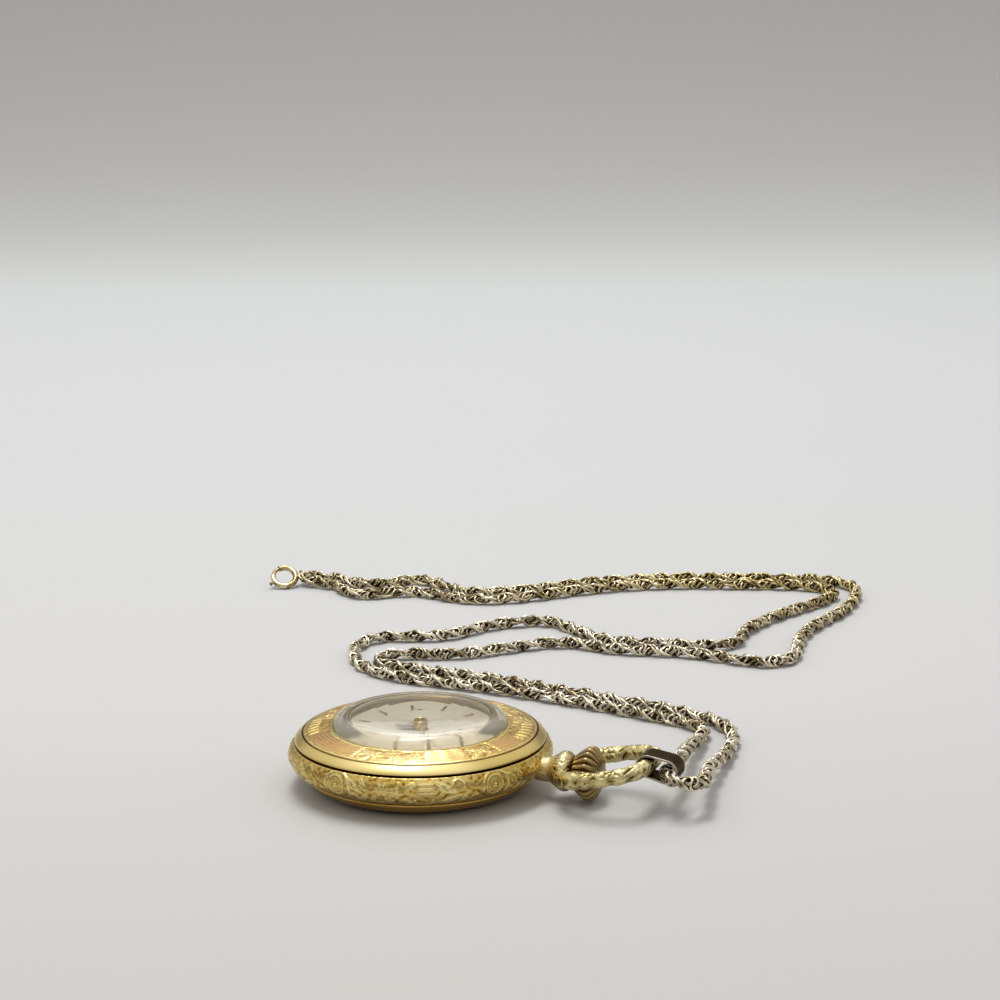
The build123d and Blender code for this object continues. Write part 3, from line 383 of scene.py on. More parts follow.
wire_rough = node(
    tree, "ShaderNodeMapRange", {"To Min": 0.36, "To Max": 0.18}, {"Value": tarnish.outputs["Fac"]}
)
tree.links.new(wire_rough.outputs["Result"], shader.inputs["Roughness"])

near_chain = make_piece("near_chain_links", near_points, near_quads, "watch", chain_finish, near_crown_light_and_shade)
far_chain = make_piece("far_chain_links", far_points, far_quads, "watch", chain_finish, far_crown_light_and_shade)
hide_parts("chain_near_strand")
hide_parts("chain_far_strand")

# %% [markdown]
# Gold plate over stamped brass: raised parts stay yellow and bright where sleeves rub them, while the
# hollows hold dark brown dirt. In patches the plate is thin and copper or grey shows through.
# Each stamped piece stores how high every point stands, from 0 to 1, as an attribute named relief,
# and one ramp from dirt to bright gold reads it. Where plate has gone from ground lines, the piece
# says so with an attribute named copper. The dents are drawn coarser than real, so that they show.

# %% Gold plate finishes
def gold_plate(name, hollow, middle, crown, bare, bare_from, roughness, dent_depth=0.06):
    """Plate whose colour follows the relief, with worn patches about 5 mm across and fine dents."""
    made, tree, shader = new_finish(name, middle, 1.0, roughness)
    where = node(tree, "ShaderNodeTexCoord")
    relief = node(tree, "ShaderNodeAttribute", attribute_name="relief")
    height = node(
        tree, "ShaderNodeValToRGB", links={"Fac": relief.outputs["Fac"]},
        stops=[(0.0, hollow), (0.16, hollow), (0.34, middle), (0.80, crown)],
    )
    patches = node(
        tree, "ShaderNodeTexNoise", {"Scale": grain(5.263), "Detail": 4.0, "Roughness": 0.62},
        {"Vector": where.outputs["Object"]},
    )
    patch_mask = node(
        tree, "ShaderNodeMapRange",
        {"From Min": bare_from, "From Max": bare_from + 0.16, "To Max": 0.8},
        {"Value": patches.outputs["Fac"]},
    )
    broad = node(
        tree, "ShaderNodeTexNoise", {"Scale": grain(16.67), "Detail": 2.0},
        {"Vector": where.outputs["Object"]},
    )
    dulling = node(
        tree, "ShaderNodeValToRGB", links={"Fac": broad.outputs["Fac"]},
        stops=[(0.46, "#FFFFFF"), (0.66, "#DAD4BC")],
    )
    dulled = node(
        tree, "ShaderNodeMix", {0: 1.0}, {6: height.outputs["Color"], 7: dulling.outputs["Color"]},
        data_type="RGBA", blend_type="MULTIPLY",
    )
    colour = node(
        tree, "ShaderNodeMix", {7: linear(bare)},
        {0: patch_mask.outputs["Result"], 6: dulled.outputs[2]}, data_type="RGBA",
    )
    bared = node(tree, "ShaderNodeAttribute", attribute_name="copper")
    bared_share = node(
        tree, "ShaderNodeMath", links={0: bared.outputs["Fac"], 1: patches.outputs["Fac"]},
        operation="MULTIPLY",
    )
    coppered = node(
        tree, "ShaderNodeMix", {7: linear("#D4A468")},
        {0: bared_share.outputs["Value"], 6: colour.outputs[2]}, data_type="RGBA",
    )
    tree.links.new(coppered.outputs[2], shader.inputs["Base Color"])
    rubbed = node(
        tree, "ShaderNodeMapRange", {"To Min": roughness + 0.22, "To Max": roughness},
        {"Value": relief.outputs["Fac"]},
    )
    tree.links.new(rubbed.outputs["Result"], shader.inputs["Roughness"])
    dents = node(
        tree, "ShaderNodeTexNoise", {"Scale": grain(0.3846), "Detail": 2.0},
        {"Vector": where.outputs["Object"]},
    )
    bump = node(
        tree, "ShaderNodeBump", {"Strength": 0.35, "Distance": dent_depth * MM},
        {"Height": dents.outputs["Fac"]},
    )
    tree.links.new(bump.outputs["Normal"], shader.inputs["Normal"])
    return made


band_gold = gold_plate("Stamped gold plate, band", "#4C360F", "#D0A84E", "#FFF0AA", "#BCA26C", 0.60, 0.17)
bezel_gold = gold_plate("Stamped gold plate, bezel", "#4A2A0E", "#B88A40", "#FFE8A0", "#C29468", 0.62, 0.24)
back_gold = gold_plate("Polished gold plate", "#5A4216", "#AC8A42", "#C8A456", "#8A764A", 0.60, 0.2, 0.03)
bow_gold = gold_plate("Chased gold plate, bow", "#2A200C", "#7C6A38", "#EADCA8", "#A09064", 0.58, 0.28)
collar_gold = gold_plate("Chased gold plate, collar", "#2E2010", "#8C7040", "#F0E2B0", "#86583A", 0.54, 0.28)
gold_finishes = [band_gold, bezel_gold, back_gold, bow_gold, collar_gold]
print("gold finishes:", [finish.name for finish in gold_finishes])

# %% [markdown]
# The die sinker's ornament comes down to a few motifs: leaf, bead in rings, scroll, flower and ribs.
# A bump map would leave the outline smooth, and the light on gold shows real height, so they are
# modelled. Every motif is a small height function of two lengths on the metal, in millimetres:
# a runs round the piece and b up its side. A height is 0 in the ground and 1 on a crown.

# %% Relief motifs
def ridge(distance, width):
    """Bell curve: 1 on the line, a third of that one width away."""
    return np.exp(-((distance / width) ** 2))


def gate(value, low, high, soft=0.12):
    """1 between two values, fading to 0 outside them over a soft edge."""
    return np.clip((value - low) / soft, 0, 1) * np.clip((high - value) / soft, 0, 1)


def leaf(a, b, at, degrees, length, width, veins=5, bend=0.0):
    """A pointed leaf: half an ellipse across, less a bell curve along the midrib, and a cosine of
    the distance along less that across for its slanting veins; bend curls its line."""
    angle = np.radians(degrees)
    along = ((a - at[0]) * np.cos(angle) + (b - at[1]) * np.sin(angle)) / length
    across = (b - at[1]) * np.cos(angle) - (a - at[0]) * np.sin(angle) - bend * length * along**2
    inside = np.clip(along, 0, 1)
    half = width * np.sin(math.pi * inside**0.75) ** 0.8 + 1e-6
    dome = np.sqrt(np.clip(1 - (across / half) ** 2, 0, 1)) * gate(along, 0, 1, 0.06)
    vein = 0.5 + 0.5 * np.cos(2 * math.pi * (veins * inside - np.abs(across) / 0.42))
    return dome * (0.72 + 0.28 * vein) - 0.45 * ridge(across, 0.07) * dome


def ringed_bead(a, b, at, size=1.0):
    """A round bead, half an ellipse of the radius, inside two rings that are bell curves of it."""
    r = np.hypot(a - at[0], b - at[1]) / size
    bead = np.sqrt(np.clip(1 - (r / 0.42) ** 2, 0, 1))
    return np.maximum(bead, np.maximum(0.8 * ridge(r - 0.78, 0.13), 0.9 * ridge(r - 1.2, 0.15)))


def scroll(a, b, at, radius, start, sweep, width=0.17, close=0.45):
    """A C-scroll: a rounded line along a spiral that opens from close times the radius."""
    r = np.hypot(a - at[0], b - at[1])
    angle = np.degrees(np.arctan2(b - at[1], a - at[0]))
    gone = (angle - start) % 360 if sweep > 0 else (start - angle) % 360
    share = np.clip(gone / abs(sweep), 0, 1)
    path = radius * (close + (1 - close) * share)
    return ridge(r - path, width) * (gone <= abs(sweep))


def flower(a, b, at, radius=0.95, petals=6):
    """Round petals about a bead: height falls with the radius, folded by a cosine of the bearing."""
    r = np.hypot(a - at[0], b - at[1]) / radius
    angle = np.arctan2(b - at[1], a - at[0])
    petal = np.clip(1 - r, 0, 1) ** 0.35 * (0.45 + 0.55 * np.abs(np.cos(petals * angle / 2)))
    return np.maximum(petal * (r > 0.3), ridge(r, 0.24))


def ribs(value, pitch):
    """Parallel rounded ribs, pitch apart: a folded sine."""
    return np.abs(np.sin(math.pi * value / pitch))


def foliage(a, b, cell_a, cell_b, swing=70):
    """Small leaves that fill the ground: one in each cell, its slant changing from cell to cell.
    A second set, half a cell on, covers the gaps of the first."""
    heights = []
    for shift in (0.0, 0.5):
        column = np.floor(a / cell_a + shift)
        row = np.floor(b / cell_b + shift)
        u = (a / cell_a + shift - column - 0.5) * cell_a
        v = (b / cell_b + shift - row - 0.5) * cell_b
        slant = 35 * (-1) ** column + swing * np.sin(2.4 * column + 3.7 * row + 5 * shift)
        length = 1.25 * cell_a
        start = (-length / 2 * np.cos(np.radians(slant)), -length / 2 * np.sin(np.radians(slant)))
        heights.append(leaf(u, v, start, slant, length, 0.36 * cell_b, 3))
    return np.maximum(*heights)


def worn(height, times):
    """Rubbed relief: each height moves towards its neighbours' mean, as handling rounds the edges."""
    for _ in range(times):
        round_about = np.roll(height, 1, axis=1) + np.roll(height, -1, axis=1)
        padded = np.pad(height, ((1, 1), (0, 0)), mode="edge")
        height = 0.4 * height + 0.15 * (round_about + padded[:-2] + padded[2:])
    return height


# %% [markdown]
# The band between the two seams carries a stamped frieze that repeats five times round the case.
# Each repeat has a bead in rings inside a scroll, long leaves, three flowers, and a panel of fine
# ribs. The highest motif wins at each point, as one punch over another would leave it.

# %% Frieze
WAIST_R = 16
FRIEZE_REPEATS = 5
FRIEZE_PERIOD = 2 * math.pi * WAIST_R / FRIEZE_REPEATS
print("frieze repeat, mm:", round(FRIEZE_PERIOD, 2))


def frieze(a, b):
    """Height of the band's pattern, 0 to 1: the repeat drawn at its own place and one before it."""
    a = a % FRIEZE_PERIOD
    motifs = np.maximum(frieze_repeat(a, b), frieze_repeat(a - FRIEZE_PERIOD, b))
    height = np.maximum(0.2 + 0.42 * foliage(a, b, FRIEZE_PERIOD / 12, 1.1), motifs)
    border = gate(b, -2.05, 2.05, 0.2)
    return np.clip(height * border + 0.8 * (1 - border), 0, 1)


def frieze_repeat(a, b):
    """The motifs of one repeat: a from the bead's middle, round the case; b from -2.2 up to 2.2."""
    marks = [
        ringed_bead(a, b, (0, 0.35), 0.95),
        0.9 * scroll(a, b, (0.1, 0.2), 1.95, 200, -235, 0.2, 0.85),
        0.85 * scroll(a, b, (2.35, -0.85), 0.95, 120, -250, 0.16),
        0.8 * scroll(a, b, (-2.3, -0.9), 0.95, 60, 250, 0.16),
        leaf(a, b, (1.3, 1.5), -28, 3.3, 0.5, 5, -0.12),
        leaf(a, b, (2.9, -1.7), 40, 2.6, 0.5, 4, 0.15),
        leaf(a, b, (3.3, 1.7), -62, 2.0, 0.42, 3, 0.1),
        flower(a, b, (6.2, 0.55), 1.15),
        flower(a, b, (7.9, 0.2), 0.95, 5),
        flower(a, b, (7.0, -0.85), 0.8, 5),
        leaf(a, b, (5.4, -0.3), 235, 1.9, 0.42, 3, 0.1),
        leaf(a, b, (8.9, 0.9), 20, 1.7, 0.4, 3, -0.1),
        leaf(a, b, (8.7, -0.5), -40, 2.0, 0.45, 3, 0.1),
        leaf(a, b, (6.9, -1.5), 180, 1.8, 0.35, 3, -0.1),
        0.85 * ribs(b - 0.1, 0.46) * gate(a, 10.0, 12.9, 0.7) * gate(b, -0.4, 1.9, 0.5),
        0.9 * scroll(a, b, (11.2, -0.6), 1.15, 180, 180, 0.17, 0.9),
        leaf(a, b, (11.0, -1.9), 15, 2.9, 0.4, 4, 0.12),
        leaf(a, b, (12.6, 1.5), -35, 3.1, 0.55, 5, 0.1),
        leaf(a, b, (13.2, -1.5), 32, 3.2, 0.55, 5, -0.12),
        0.9 * scroll(a, b, (15.2, 0.9), 0.9, 250, -260, 0.16),
        leaf(a, b, (15.7, -1.7), 60, 2.4, 0.45, 4, 0.1),
    ]
    return np.maximum.reduce(marks)


# %% [markdown]
# Case, bezel, back, crystal, crown and pendant are turned: a profile of radius and height, carried
# round an axis. A profile's corners are eased by cutting each run at a quarter and three quarters a
# few times, as a file would, and its points are then spaced evenly, so that relief comes out even.

# %% Turned profiles
def eased(points, times=2):
    """Corner cutting: each run keeps its points at one and three quarters; the ends stay."""
    line = np.array(points, dtype=float)
    for _ in range(times):
        first = 0.75 * line[:-1] + 0.25 * line[1:]
        second = 0.25 * line[:-1] + 0.75 * line[1:]
        middle = np.stack([first, second], axis=1).reshape(-1, 2)
        line = np.concatenate([line[:1], middle[1:-1], line[-1:]])
    return line


def evenly(line, count):
    """The same line with count points at equal distances, read between its own points."""
    reached = np.concatenate([[0], np.cumsum(np.linalg.norm(np.diff(line, axis=0), axis=1))])
    places = np.linspace(0, reached[-1], count)
    return np.stack([np.interp(places, reached, line[:, axis]) for axis in range(line.shape[1])], axis=1)


def outward(line):
    """Unit normals to the right of a (radius, height) line that is walked upwards: its steps, turned
    a quarter, so they point away from the axis."""
    step = np.gradient(line, axis=0)
    step /= np.linalg.norm(step, axis=1, keepdims=True) + 1e-12
    return np.stack([step[:, 1], -step[:, 0]], axis=1)


def spun(radius, height, steps):
    """Turn about Z: x = r cos t, y = r sin t, z = h, for columns t round the circle."""
    turn = np.linspace(0, 2 * math.pi, steps, endpoint=False)[None, :]
    radius = np.broadcast_to(np.reshape(radius, (len(radius), -1)), (len(radius), steps))
    height = np.broadcast_to(np.reshape(height, (len(height), -1)), (len(height), steps))
    return np.stack([radius * np.cos(turn), radius * np.sin(turn), height], axis=-1)


def plain_rows(profile, steps):
    """Radii and heights of a stretch without relief, the same at every step round."""
    return [np.broadcast_to(profile[:, axis:axis + 1], (len(profile), steps)) for axis in (0, 1)]


# %% [markdown]
# The case middle is a turned band: a waist at 16 mm radius between two seams, closed by the bore
# inside. The frieze moves each outside point along the profile's own normal: crowns stand a little
# proud of the turned shape and the ground sinks. At both seams the metal turns in to a dark line.

# %% Case band
LOWER_SEAM = (14.2, 1.85)
UPPER_SEAM = (15.2, 5.75)
BEAD_AT = math.radians(-16.4)
BAND_STEPS = 1480
BAND_ROWS = 50
FRIEZE_HALF_HEIGHT = 2.2
RELIEF = 0.3
PLAIN_LEVEL = 0.8
SEAM_DEPTH = 0.1

side_outline = [LOWER_SEAM, (15.35, 2.55), (16.05, 3.7), (16.05, 4.3), (15.75, 5.2), UPPER_SEAM]
side = evenly(eased(side_outline, 3), BAND_ROWS)
side_normal = outward(side)
side_length = line_length(side)
round_case = (np.linspace(0, 2 * math.pi, BAND_STEPS, endpoint=False) - BEAD_AT) * WAIST_R
up_side = np.linspace(-side_length / 2, side_length / 2, BAND_ROWS)
band_a, band_b = np.meshgrid(round_case, up_side)
band_height = worn(frieze(band_a, band_b * FRIEZE_HALF_HEIGHT / (side_length / 2)), 3)
seam = 1 - gate(np.arange(BAND_ROWS), 1.2, BAND_ROWS - 2.2, 1.0)[:, None]
band_height = band_height * (1 - seam)
push = RELIEF * (band_height - PLAIN_LEVEL) - SEAM_DEPTH * seam
band_r = side[:, :1] + push * side_normal[:, :1]
band_z = side[:, 1:] + push * side_normal[:, 1:]
bore = np.array([(13.6, 5.75), (13.6, 5.0), (13.0, 5.0), (13.0, 2.6), (13.4, 2.6), (13.4, 1.85)])
bore_r, bore_z = plain_rows(bore, BAND_STEPS)
band_points = spun(np.concatenate([band_r, bore_r]), np.concatenate([band_z, bore_z]), BAND_STEPS)
band_relief = np.concatenate([band_height, np.full(bore_r.shape, 0.5)])
band = make_piece(
    "case_band", band_points, grid_quads(BAND_ROWS + len(bore), BAND_STEPS, round_rows=True),
    "watch", band_gold, band_relief,
)
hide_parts("case_body")

# %% [markdown]
# The back snaps into the lower seam. It is a shallow dome with a flat to lie on, and only its rim
# shows, as a thin line under the band. Rings from the lathe stay faint on it, in colour alone: a sine
# of the radius moves the relief mark up and down a little.

# %% Case back
BACK_STEPS = 240

back_outside = evenly(eased([(0.0, 0.0), (7.0, 0.0), (12.6, 0.35), (13.75, 1.15), (14.2, 1.8)], 2), 60)
back_inside = np.array([(13.4, 1.83), (13.4, 2.6), (12.9, 2.6), (12.1, 0.85), (0.0, 0.5)])
back_line = np.concatenate([back_outside, back_inside])
back_relief = 0.72 + 0.14 * np.sin(back_line[:, :1] * 9.0) + np.zeros((1, BACK_STEPS))
back = make_piece(
    "case_back_shell", spun(back_line[:, :1], back_line[:, 1:], BACK_STEPS),
    grid_quads(len(back_line), BACK_STEPS), "watch", back_gold, back_relief,
)
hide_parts("case_back")

# %% [markdown]
# The broad ring of the bezel is engraved in panels: fine lines round the ring, flowers, crossed
# leaves, and teeth across it. The panels don't repeat evenly, so they are a short list of bearings in
# degrees, counted round from the place that faces the camera.

# %% Bezel panels
PANELS = [
    (-36, 2, "flowers"), (2, 25, "lines"), (25, 43, "cross"), (43, 64, "lines"), (64, 90, "teeth"),
    (90, 128, "flowers"), (128, 152, "lines"), (152, 170, "cross"), (170, 192, "lines"),
    (192, 216, "teeth"), (216, 254, "flowers"), (254, 282, "teeth"), (282, 324, "lines"),
]


def ring_pattern(a, b, kind):
    """Height on the bezel's ring: a in mm from a panel's start, b from 0 at the rim to 3.5 inside.
    Lines and teeth are ribs; flowers and crossed leaves are the highest of their motifs."""
    ground = 0.3 + 0.36 * foliage(a, b, 2.4, 1.5)
    if kind == "lines":
        return 0.25 + 0.75 * ribs(b + 0.05 * np.sin(3 * a), 0.5)
    if kind == "teeth":
        return np.maximum(ground, ribs(a + 0.25 * b, 1.05) ** 0.7 * gate(b, 0.25, 2.4, 0.5))
    if kind == "cross":
        marks = [
            leaf(a, b, (0.2, 0.3), 38, 4.0, 0.7, 5),
            leaf(a, b, (0.2, 3.1), -38, 4.0, 0.7, 5),
            flower(a, b, (1.9, 1.7), 0.8, 5),
        ]
    else:
        marks = [
            flower(a, b, (2.0, 1.8), 1.5, 6),
            flower(a, b, (4.9, 1.4), 1.3, 5),
            flower(a, b, (7.2, 2.0), 1.4, 6),
            leaf(a, b, (0.1, 2.9), -35, 2.6, 0.6, 3, 0.1),
            leaf(a, b, (3.1, 2.8), 0, 2.8, 0.5, 3, 0.12),
            leaf(a, b, (5.9, 0.5), 12, 2.6, 0.5, 3, 0.12),
            0.9 * scroll(a, b, (0.9, 1.2), 0.8, 90, 250, 0.15),
            0.9 * scroll(a, b, (7.6, 2.5), 0.7, 180, -250, 0.15),
        ]
    return np.maximum.reduce([ground] + marks)


print("bezel panels:", len(PANELS))

# %% [markdown]
# The bezel snaps on above the upper seam. Its bevel is plain and polished, and a sharp groove, dark
# with dirt, divides it from the ring. On the panels of lines the plate has rubbed through to copper.
# Bevel, groove, ring and underside are one closed profile, so one turned skin makes the whole bezel.

# %% Bezel
PANELS_FROM = 22.8
BEZEL_STEPS = 1200
BEVEL_ROWS = 14
RING_ROWS = 40
RING_MIDDLE_R = 12.6
RING_RELIEF = 0.2
RING_PLAIN_LEVEL = 0.85
COPPER_SHARE = 1.5

bevel = evenly(eased([(15.12, 5.77), (15.2, 5.86), (14.98, 6.2), (14.36, 6.7)], 1), BEVEL_ROWS)
groove = np.array([(14.28, 6.74), (14.2, 6.58), (14.12, 6.58)])
ring_line = evenly(eased([(14.08, 6.75), (14.07, 6.93), (12.6, 7.3), (10.56, 7.42)], 2), RING_ROWS)
under_ring = np.array([
    (10.52, 7.3), (10.52, 6.75), (9.7, 6.75), (9.7, 6.62),
    (12.9, 6.62), (13.0, 5.05), (13.58, 5.05), (13.58, 5.77),
])

first_panel = PANELS[0][0]
turn = np.linspace(0, 360, BEZEL_STEPS, endpoint=False)
bearings = (turn - PANELS_FROM - first_panel) % 360 + first_panel
ring_a, ring_b = np.meshgrid(bearings, np.linspace(0, line_length(ring_line), RING_ROWS))
ring_height = np.zeros(ring_a.shape)
ring_copper = np.zeros(ring_a.shape)
for start, stop, kind in PANELS:
    length = np.radians(ring_a - start) * RING_MIDDLE_R
    inside = (ring_a >= start) & (ring_a < stop)
    ring_height = np.where(inside, ring_pattern(length, ring_b, kind), ring_height)
    if kind == "lines":
        ring_copper += COPPER_SHARE * gate(ring_a, start, stop, 2.0) * gate(ring_b, 0.3, 3.2, 0.5)
edging = gate(ring_b, 0.22, 3.4, 0.15)
ring_height = worn(np.clip(ring_height * edging + 0.9 * (1 - edging), 0, 1), 2)

ring_normal = outward(ring_line[::-1])[::-1]
ring_push = RING_RELIEF * (ring_height - RING_PLAIN_LEVEL)
ring_rows = [ring_line[:, axis:axis + 1] - ring_push * ring_normal[:, axis:axis + 1] for axis in (0, 1)]
stretches = [
    (*plain_rows(bevel, BEZEL_STEPS), 0.8, 0.0),
    (*plain_rows(groove, BEZEL_STEPS), 0.0, 0.0),
    (*ring_rows, ring_height, ring_copper),
    (*plain_rows(under_ring, BEZEL_STEPS), 0.5, 0.0),
]
bezel_r, bezel_z, bezel_relief, bezel_copper = [
    np.concatenate([np.broadcast_to(stretch[item], stretch[0].shape) for stretch in stretches])
    for item in range(4)
]
bezel = make_piece(
    "bezel_ring", spun(bezel_r, bezel_z, BEZEL_STEPS),
    grid_quads(len(bezel_r), BEZEL_STEPS, round_rows=True),
    "watch", bezel_gold, bezel_relief, copper=bezel_copper,
)
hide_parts("bezel")

# %% [markdown]
# Acrylic is the clear, slightly soft plastic of old watch glasses. Sleeves have scuffed its steep side,
# which is duller, less clear and yellower than the top: that side stores a share named scuffed, and
# three sockets read it. Fine scratches all over are a small noise in the roughness.

# %% Acrylic finish
crystal_finish, tree, shader = new_finish("Polished acrylic", "#FFFCEE", 0.0, 0.03)
shader.inputs["Transmission Weight"].default_value = 1.0
shader.inputs["IOR"].default_value = 1.49
shader.inputs["Subsurface Weight"].default_value = 1.0
shader.inputs["Subsurface Radius"].default_value = (1.0, 0.95, 0.85)
shader.inputs["Subsurface Scale"].default_value = 3 * MM
where = node(tree, "ShaderNodeTexCoord")
scratches = node(
    tree, "ShaderNodeTexNoise", {"Scale": grain(1.111), "Detail": 3.0, "Distortion": 0.4},
    {"Vector": where.outputs["Object"]},
)
haze = node(
    tree, "ShaderNodeMapRange", {"From Min": 0.45, "From Max": 0.75, "To Max": 0.025},
    {"Value": scratches.outputs["Fac"]},
)
scuffed = node(tree, "ShaderNodeAttribute", attribute_name="scuffed")
frost = node(
    tree, "ShaderNodeMath", {1: 0.15}, {0: scuffed.outputs["Fac"], 2: haze.outputs["Result"]},
    operation="MULTIPLY_ADD",
)
tree.links.new(frost.outputs["Value"], shader.inputs["Roughness"])
clearness = node(
    tree, "ShaderNodeMapRange", {"To Min": 1.0, "To Max": 0.84}, {"Value": scuffed.outputs["Fac"]}
)
tree.links.new(clearness.outputs["Result"], shader.inputs["Transmission Weight"])
yellowed = node(
    tree, "ShaderNodeMix", {6: linear("#FFFEF8"), 7: linear("#FFF2DA")}, {0: scuffed.outputs["Fac"]},
    data_type="RGBA",
)
tree.links.new(yellowed.outputs[2], shader.inputs["Base Color"])
print("acrylic: index", shader.inputs["IOR"].default_value)

# %% [markdown]
# The crystal is cast and polished: a steep side, a rounded shoulder and a shallow dome. It is a real
# wall, hollow below, because the wall bends light twice and that gives the pale rims of an acrylic
# glass. Outside and inside are two eased outlines, joined at the foot, and each closes on the axis.

# %% Crystal
CRYSTAL_STEPS = 160
SIDE_FROM_R = 8.8
SIDE_BELOW_Z = 8.9

crystal_outside = evenly(
    eased([
        (10.5, 6.77), (10.5, 7.7), (10.25, 8.25), (9.75, 8.62), (9.0, 8.82), (5.0, 9.2), (0.0, 9.3),
    ], 2), 64
)
crystal_inside = evenly(
    eased([(0.0, 8.4), (5.0, 8.32), (8.2, 8.08), (8.75, 7.9), (8.85, 7.6), (8.9, 6.77)], 2), 48
)
crystal_line = np.concatenate([crystal_outside, crystal_inside])
crystal_quads = grid_quads(len(crystal_line), CRYSTAL_STEPS, round_rows=True)
crystal_r, crystal_z = plain_rows(crystal_line, CRYSTAL_STEPS)
side_share = np.clip((crystal_r - SIDE_FROM_R) / 0.6, 0, 1) * (crystal_z < SIDE_BELOW_Z)
crystal = make_piece(
    "crystal_dome", spun(crystal_r, crystal_z, CRYSTAL_STEPS), crystal_quads, "watch", crystal_finish,
    scuffed=side_share,
)
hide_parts("crystal")

# %% [markdown]
# The pendant is a short neck soldered to the band, which swells to a round collar for the bow's ends.
# The collar is chased, cut by hand with short leaves and strokes, and the neck much less, with copper
# showing on one side of it. The foliage from the band serves here, in cells that go a whole number of
# times round the piece, so that no seam shows.

# %% Pendant
PENDANT_Z = 3.45
COLLAR_R = 2
COLLAR_FROM = 17.0
NECK_STEPS = 120
NECK_ROWS = 60
NECK_RELIEF = 0.32


def along_pendant(points):
    """A piece turned about Z lies down along +Y, at the stem's height."""
    return np.stack([points[..., 0], points[..., 2], PENDANT_Z - points[..., 1]], axis=-1)


def chased(a, b, cell_a, cell_b):
    """Cut leaves along a piece, over slow swells that no two neighbours share: a along, b round."""
    swell = 0.12 * np.sin(2.1 * a + 1.3 * np.sin(0.7 * a)) + 0.1 * np.sin(3.3 * a + 2.0)
    return np.clip(0.26 + swell + 0.72 * foliage(a + 0.2 * np.sin(2.6 * a), b, cell_a, cell_b, 40), 0, 1)


neck_outside = evenly(
    eased([
        (1.4, 15.0), (1.5, 16.0), (1.5, 16.8), (1.8, 17.3), (2.2, 17.8), (2.4, 18.4), (2.3, 19.0),
        (1.9, 19.5), (1.2, 19.6),
    ], 2), NECK_ROWS
)
neck_bore = np.array([(0.75, 19.6), (0.75, 15.0)])
neck_girth = 2 * math.pi * COLLAR_R
round_neck = np.linspace(0, neck_girth, NECK_STEPS, endpoint=False)
neck_a, neck_b = np.meshgrid(neck_outside[:, 1], round_neck, indexing="ij")
on_collar = np.clip((neck_outside[:, 1:] - COLLAR_FROM) / 0.6, 0, 1)
neck_height = 0.7 + (0.35 + 0.65 * on_collar) * (chased(neck_a, neck_b, 1.0, neck_girth / 10) - 0.7)
neck_copper = (1 - 0.7 * on_collar) * (0.6 + 0.6 * np.sin(neck_b / COLLAR_R))
bore_r = plain_rows(neck_bore, NECK_STEPS)[0]
neck_r = np.concatenate([neck_outside[:, :1] + NECK_RELIEF * (neck_height - 0.75), bore_r])
neck_z = np.concatenate([neck_outside[:, 1:], neck_bore[:, 1:]])
neck_relief = np.concatenate([neck_height, np.full(bore_r.shape, 0.4)])
neck_copper = np.concatenate([np.clip(neck_copper, 0, 1), np.zeros(bore_r.shape)])
neck = make_piece(
    "pendant_neck", along_pendant(spun(neck_r, neck_z, NECK_STEPS)),
    grid_quads(len(neck_r), NECK_STEPS, round_rows=True),
    "watch", collar_gold, neck_relief, copper=neck_copper,
)
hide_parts("pendant")

# %% [markdown]
# The bow is a length of round wire, bent to an oval and chased all over, with two knobbed ends.
# It is a tube of changing radius carried along half an outline and its mirror, in the bow's own
# plane. Because that plane's normal never turns, it serves as one axis of every cross section.

# %% Bow
BOW_PIVOT_Y = 18.4
BOW_LENGTH = 10.9
BOW_TILT = math.radians(11.2)
BOW_WIRE_R = 0.85
BOW_STEPS = 420
BOW_SIDES = 44
BOW_RELIEF = 0.36


def place_bow(points):
    """From the bow's plane, pivot at the origin, to where it lies: turned about X, far end up."""
    across, along, above = points[..., 0], points[..., 1], points[..., 2]
    y = BOW_PIVOT_Y + along * math.cos(BOW_TILT) - above * math.sin(BOW_TILT)
    z = PENDANT_Z + along * math.sin(BOW_TILT) + above * math.cos(BOW_TILT)
    return np.stack([across, y, z], axis=-1)


def tube(line, radius, normal, sides):
    """Circles of the given radii, square to a line: centre + r (cos t side + sin t normal)."""
    along = np.gradient(line, axis=0)
    along /= np.linalg.norm(along, axis=1, keepdims=True) + 1e-12
    side_axis = np.cross(along, normal)
    turn = np.linspace(0, 2 * math.pi, sides, endpoint=False)[None, :, None]
    spoke = np.cos(turn) * side_axis[:, None, :] + np.sin(turn) * np.asarray(normal, dtype=float)
    return line[:, None, :] + radius[..., None] * spoke


half = [(2.4, 0.5), (3.2, 0.7), (4.3, 1.7), (5.3, 3.6), (5.45, 5.6), (5.35, 7.6), (3.7, BOW_LENGTH)]
bow_outline = np.array(half + [(-x, y) for x, y in reversed(half)])
bow_flat = evenly(eased(bow_outline, 4), BOW_STEPS)
bow_line = np.column_stack([bow_flat, np.zeros(BOW_STEPS)])
bow_reach = line_length(bow_line)
gone = np.linspace(0, bow_reach, BOW_STEPS)
from_end = np.minimum(gone, bow_reach - gone)
knob_places = [0, 0.1, 0.4, 1.0, 1.5, 1.9, 2.5, 3.6, 6.0]
knob_radii = [0, 0.72, 0.9, 0.98, 0.88, 0.86, 1.02, 1.0, 0.92]
knob = np.interp(from_end, knob_places, knob_radii)
bow_girth = 2 * math.pi * BOW_WIRE_R
round_wire = np.linspace(0, bow_girth, BOW_SIDES, endpoint=False)
bow_a, bow_b = np.meshgrid(gone, round_wire, indexing="ij")
bow_height = worn(chased(bow_a, bow_b, 1.3, bow_girth / 5), 1)
bow_radius = knob[:, None] * (1 + BOW_RELIEF * (bow_height - 0.72))
bow_points = place_bow(tube(bow_line, bow_radius, (0, 0, 1), BOW_SIDES))
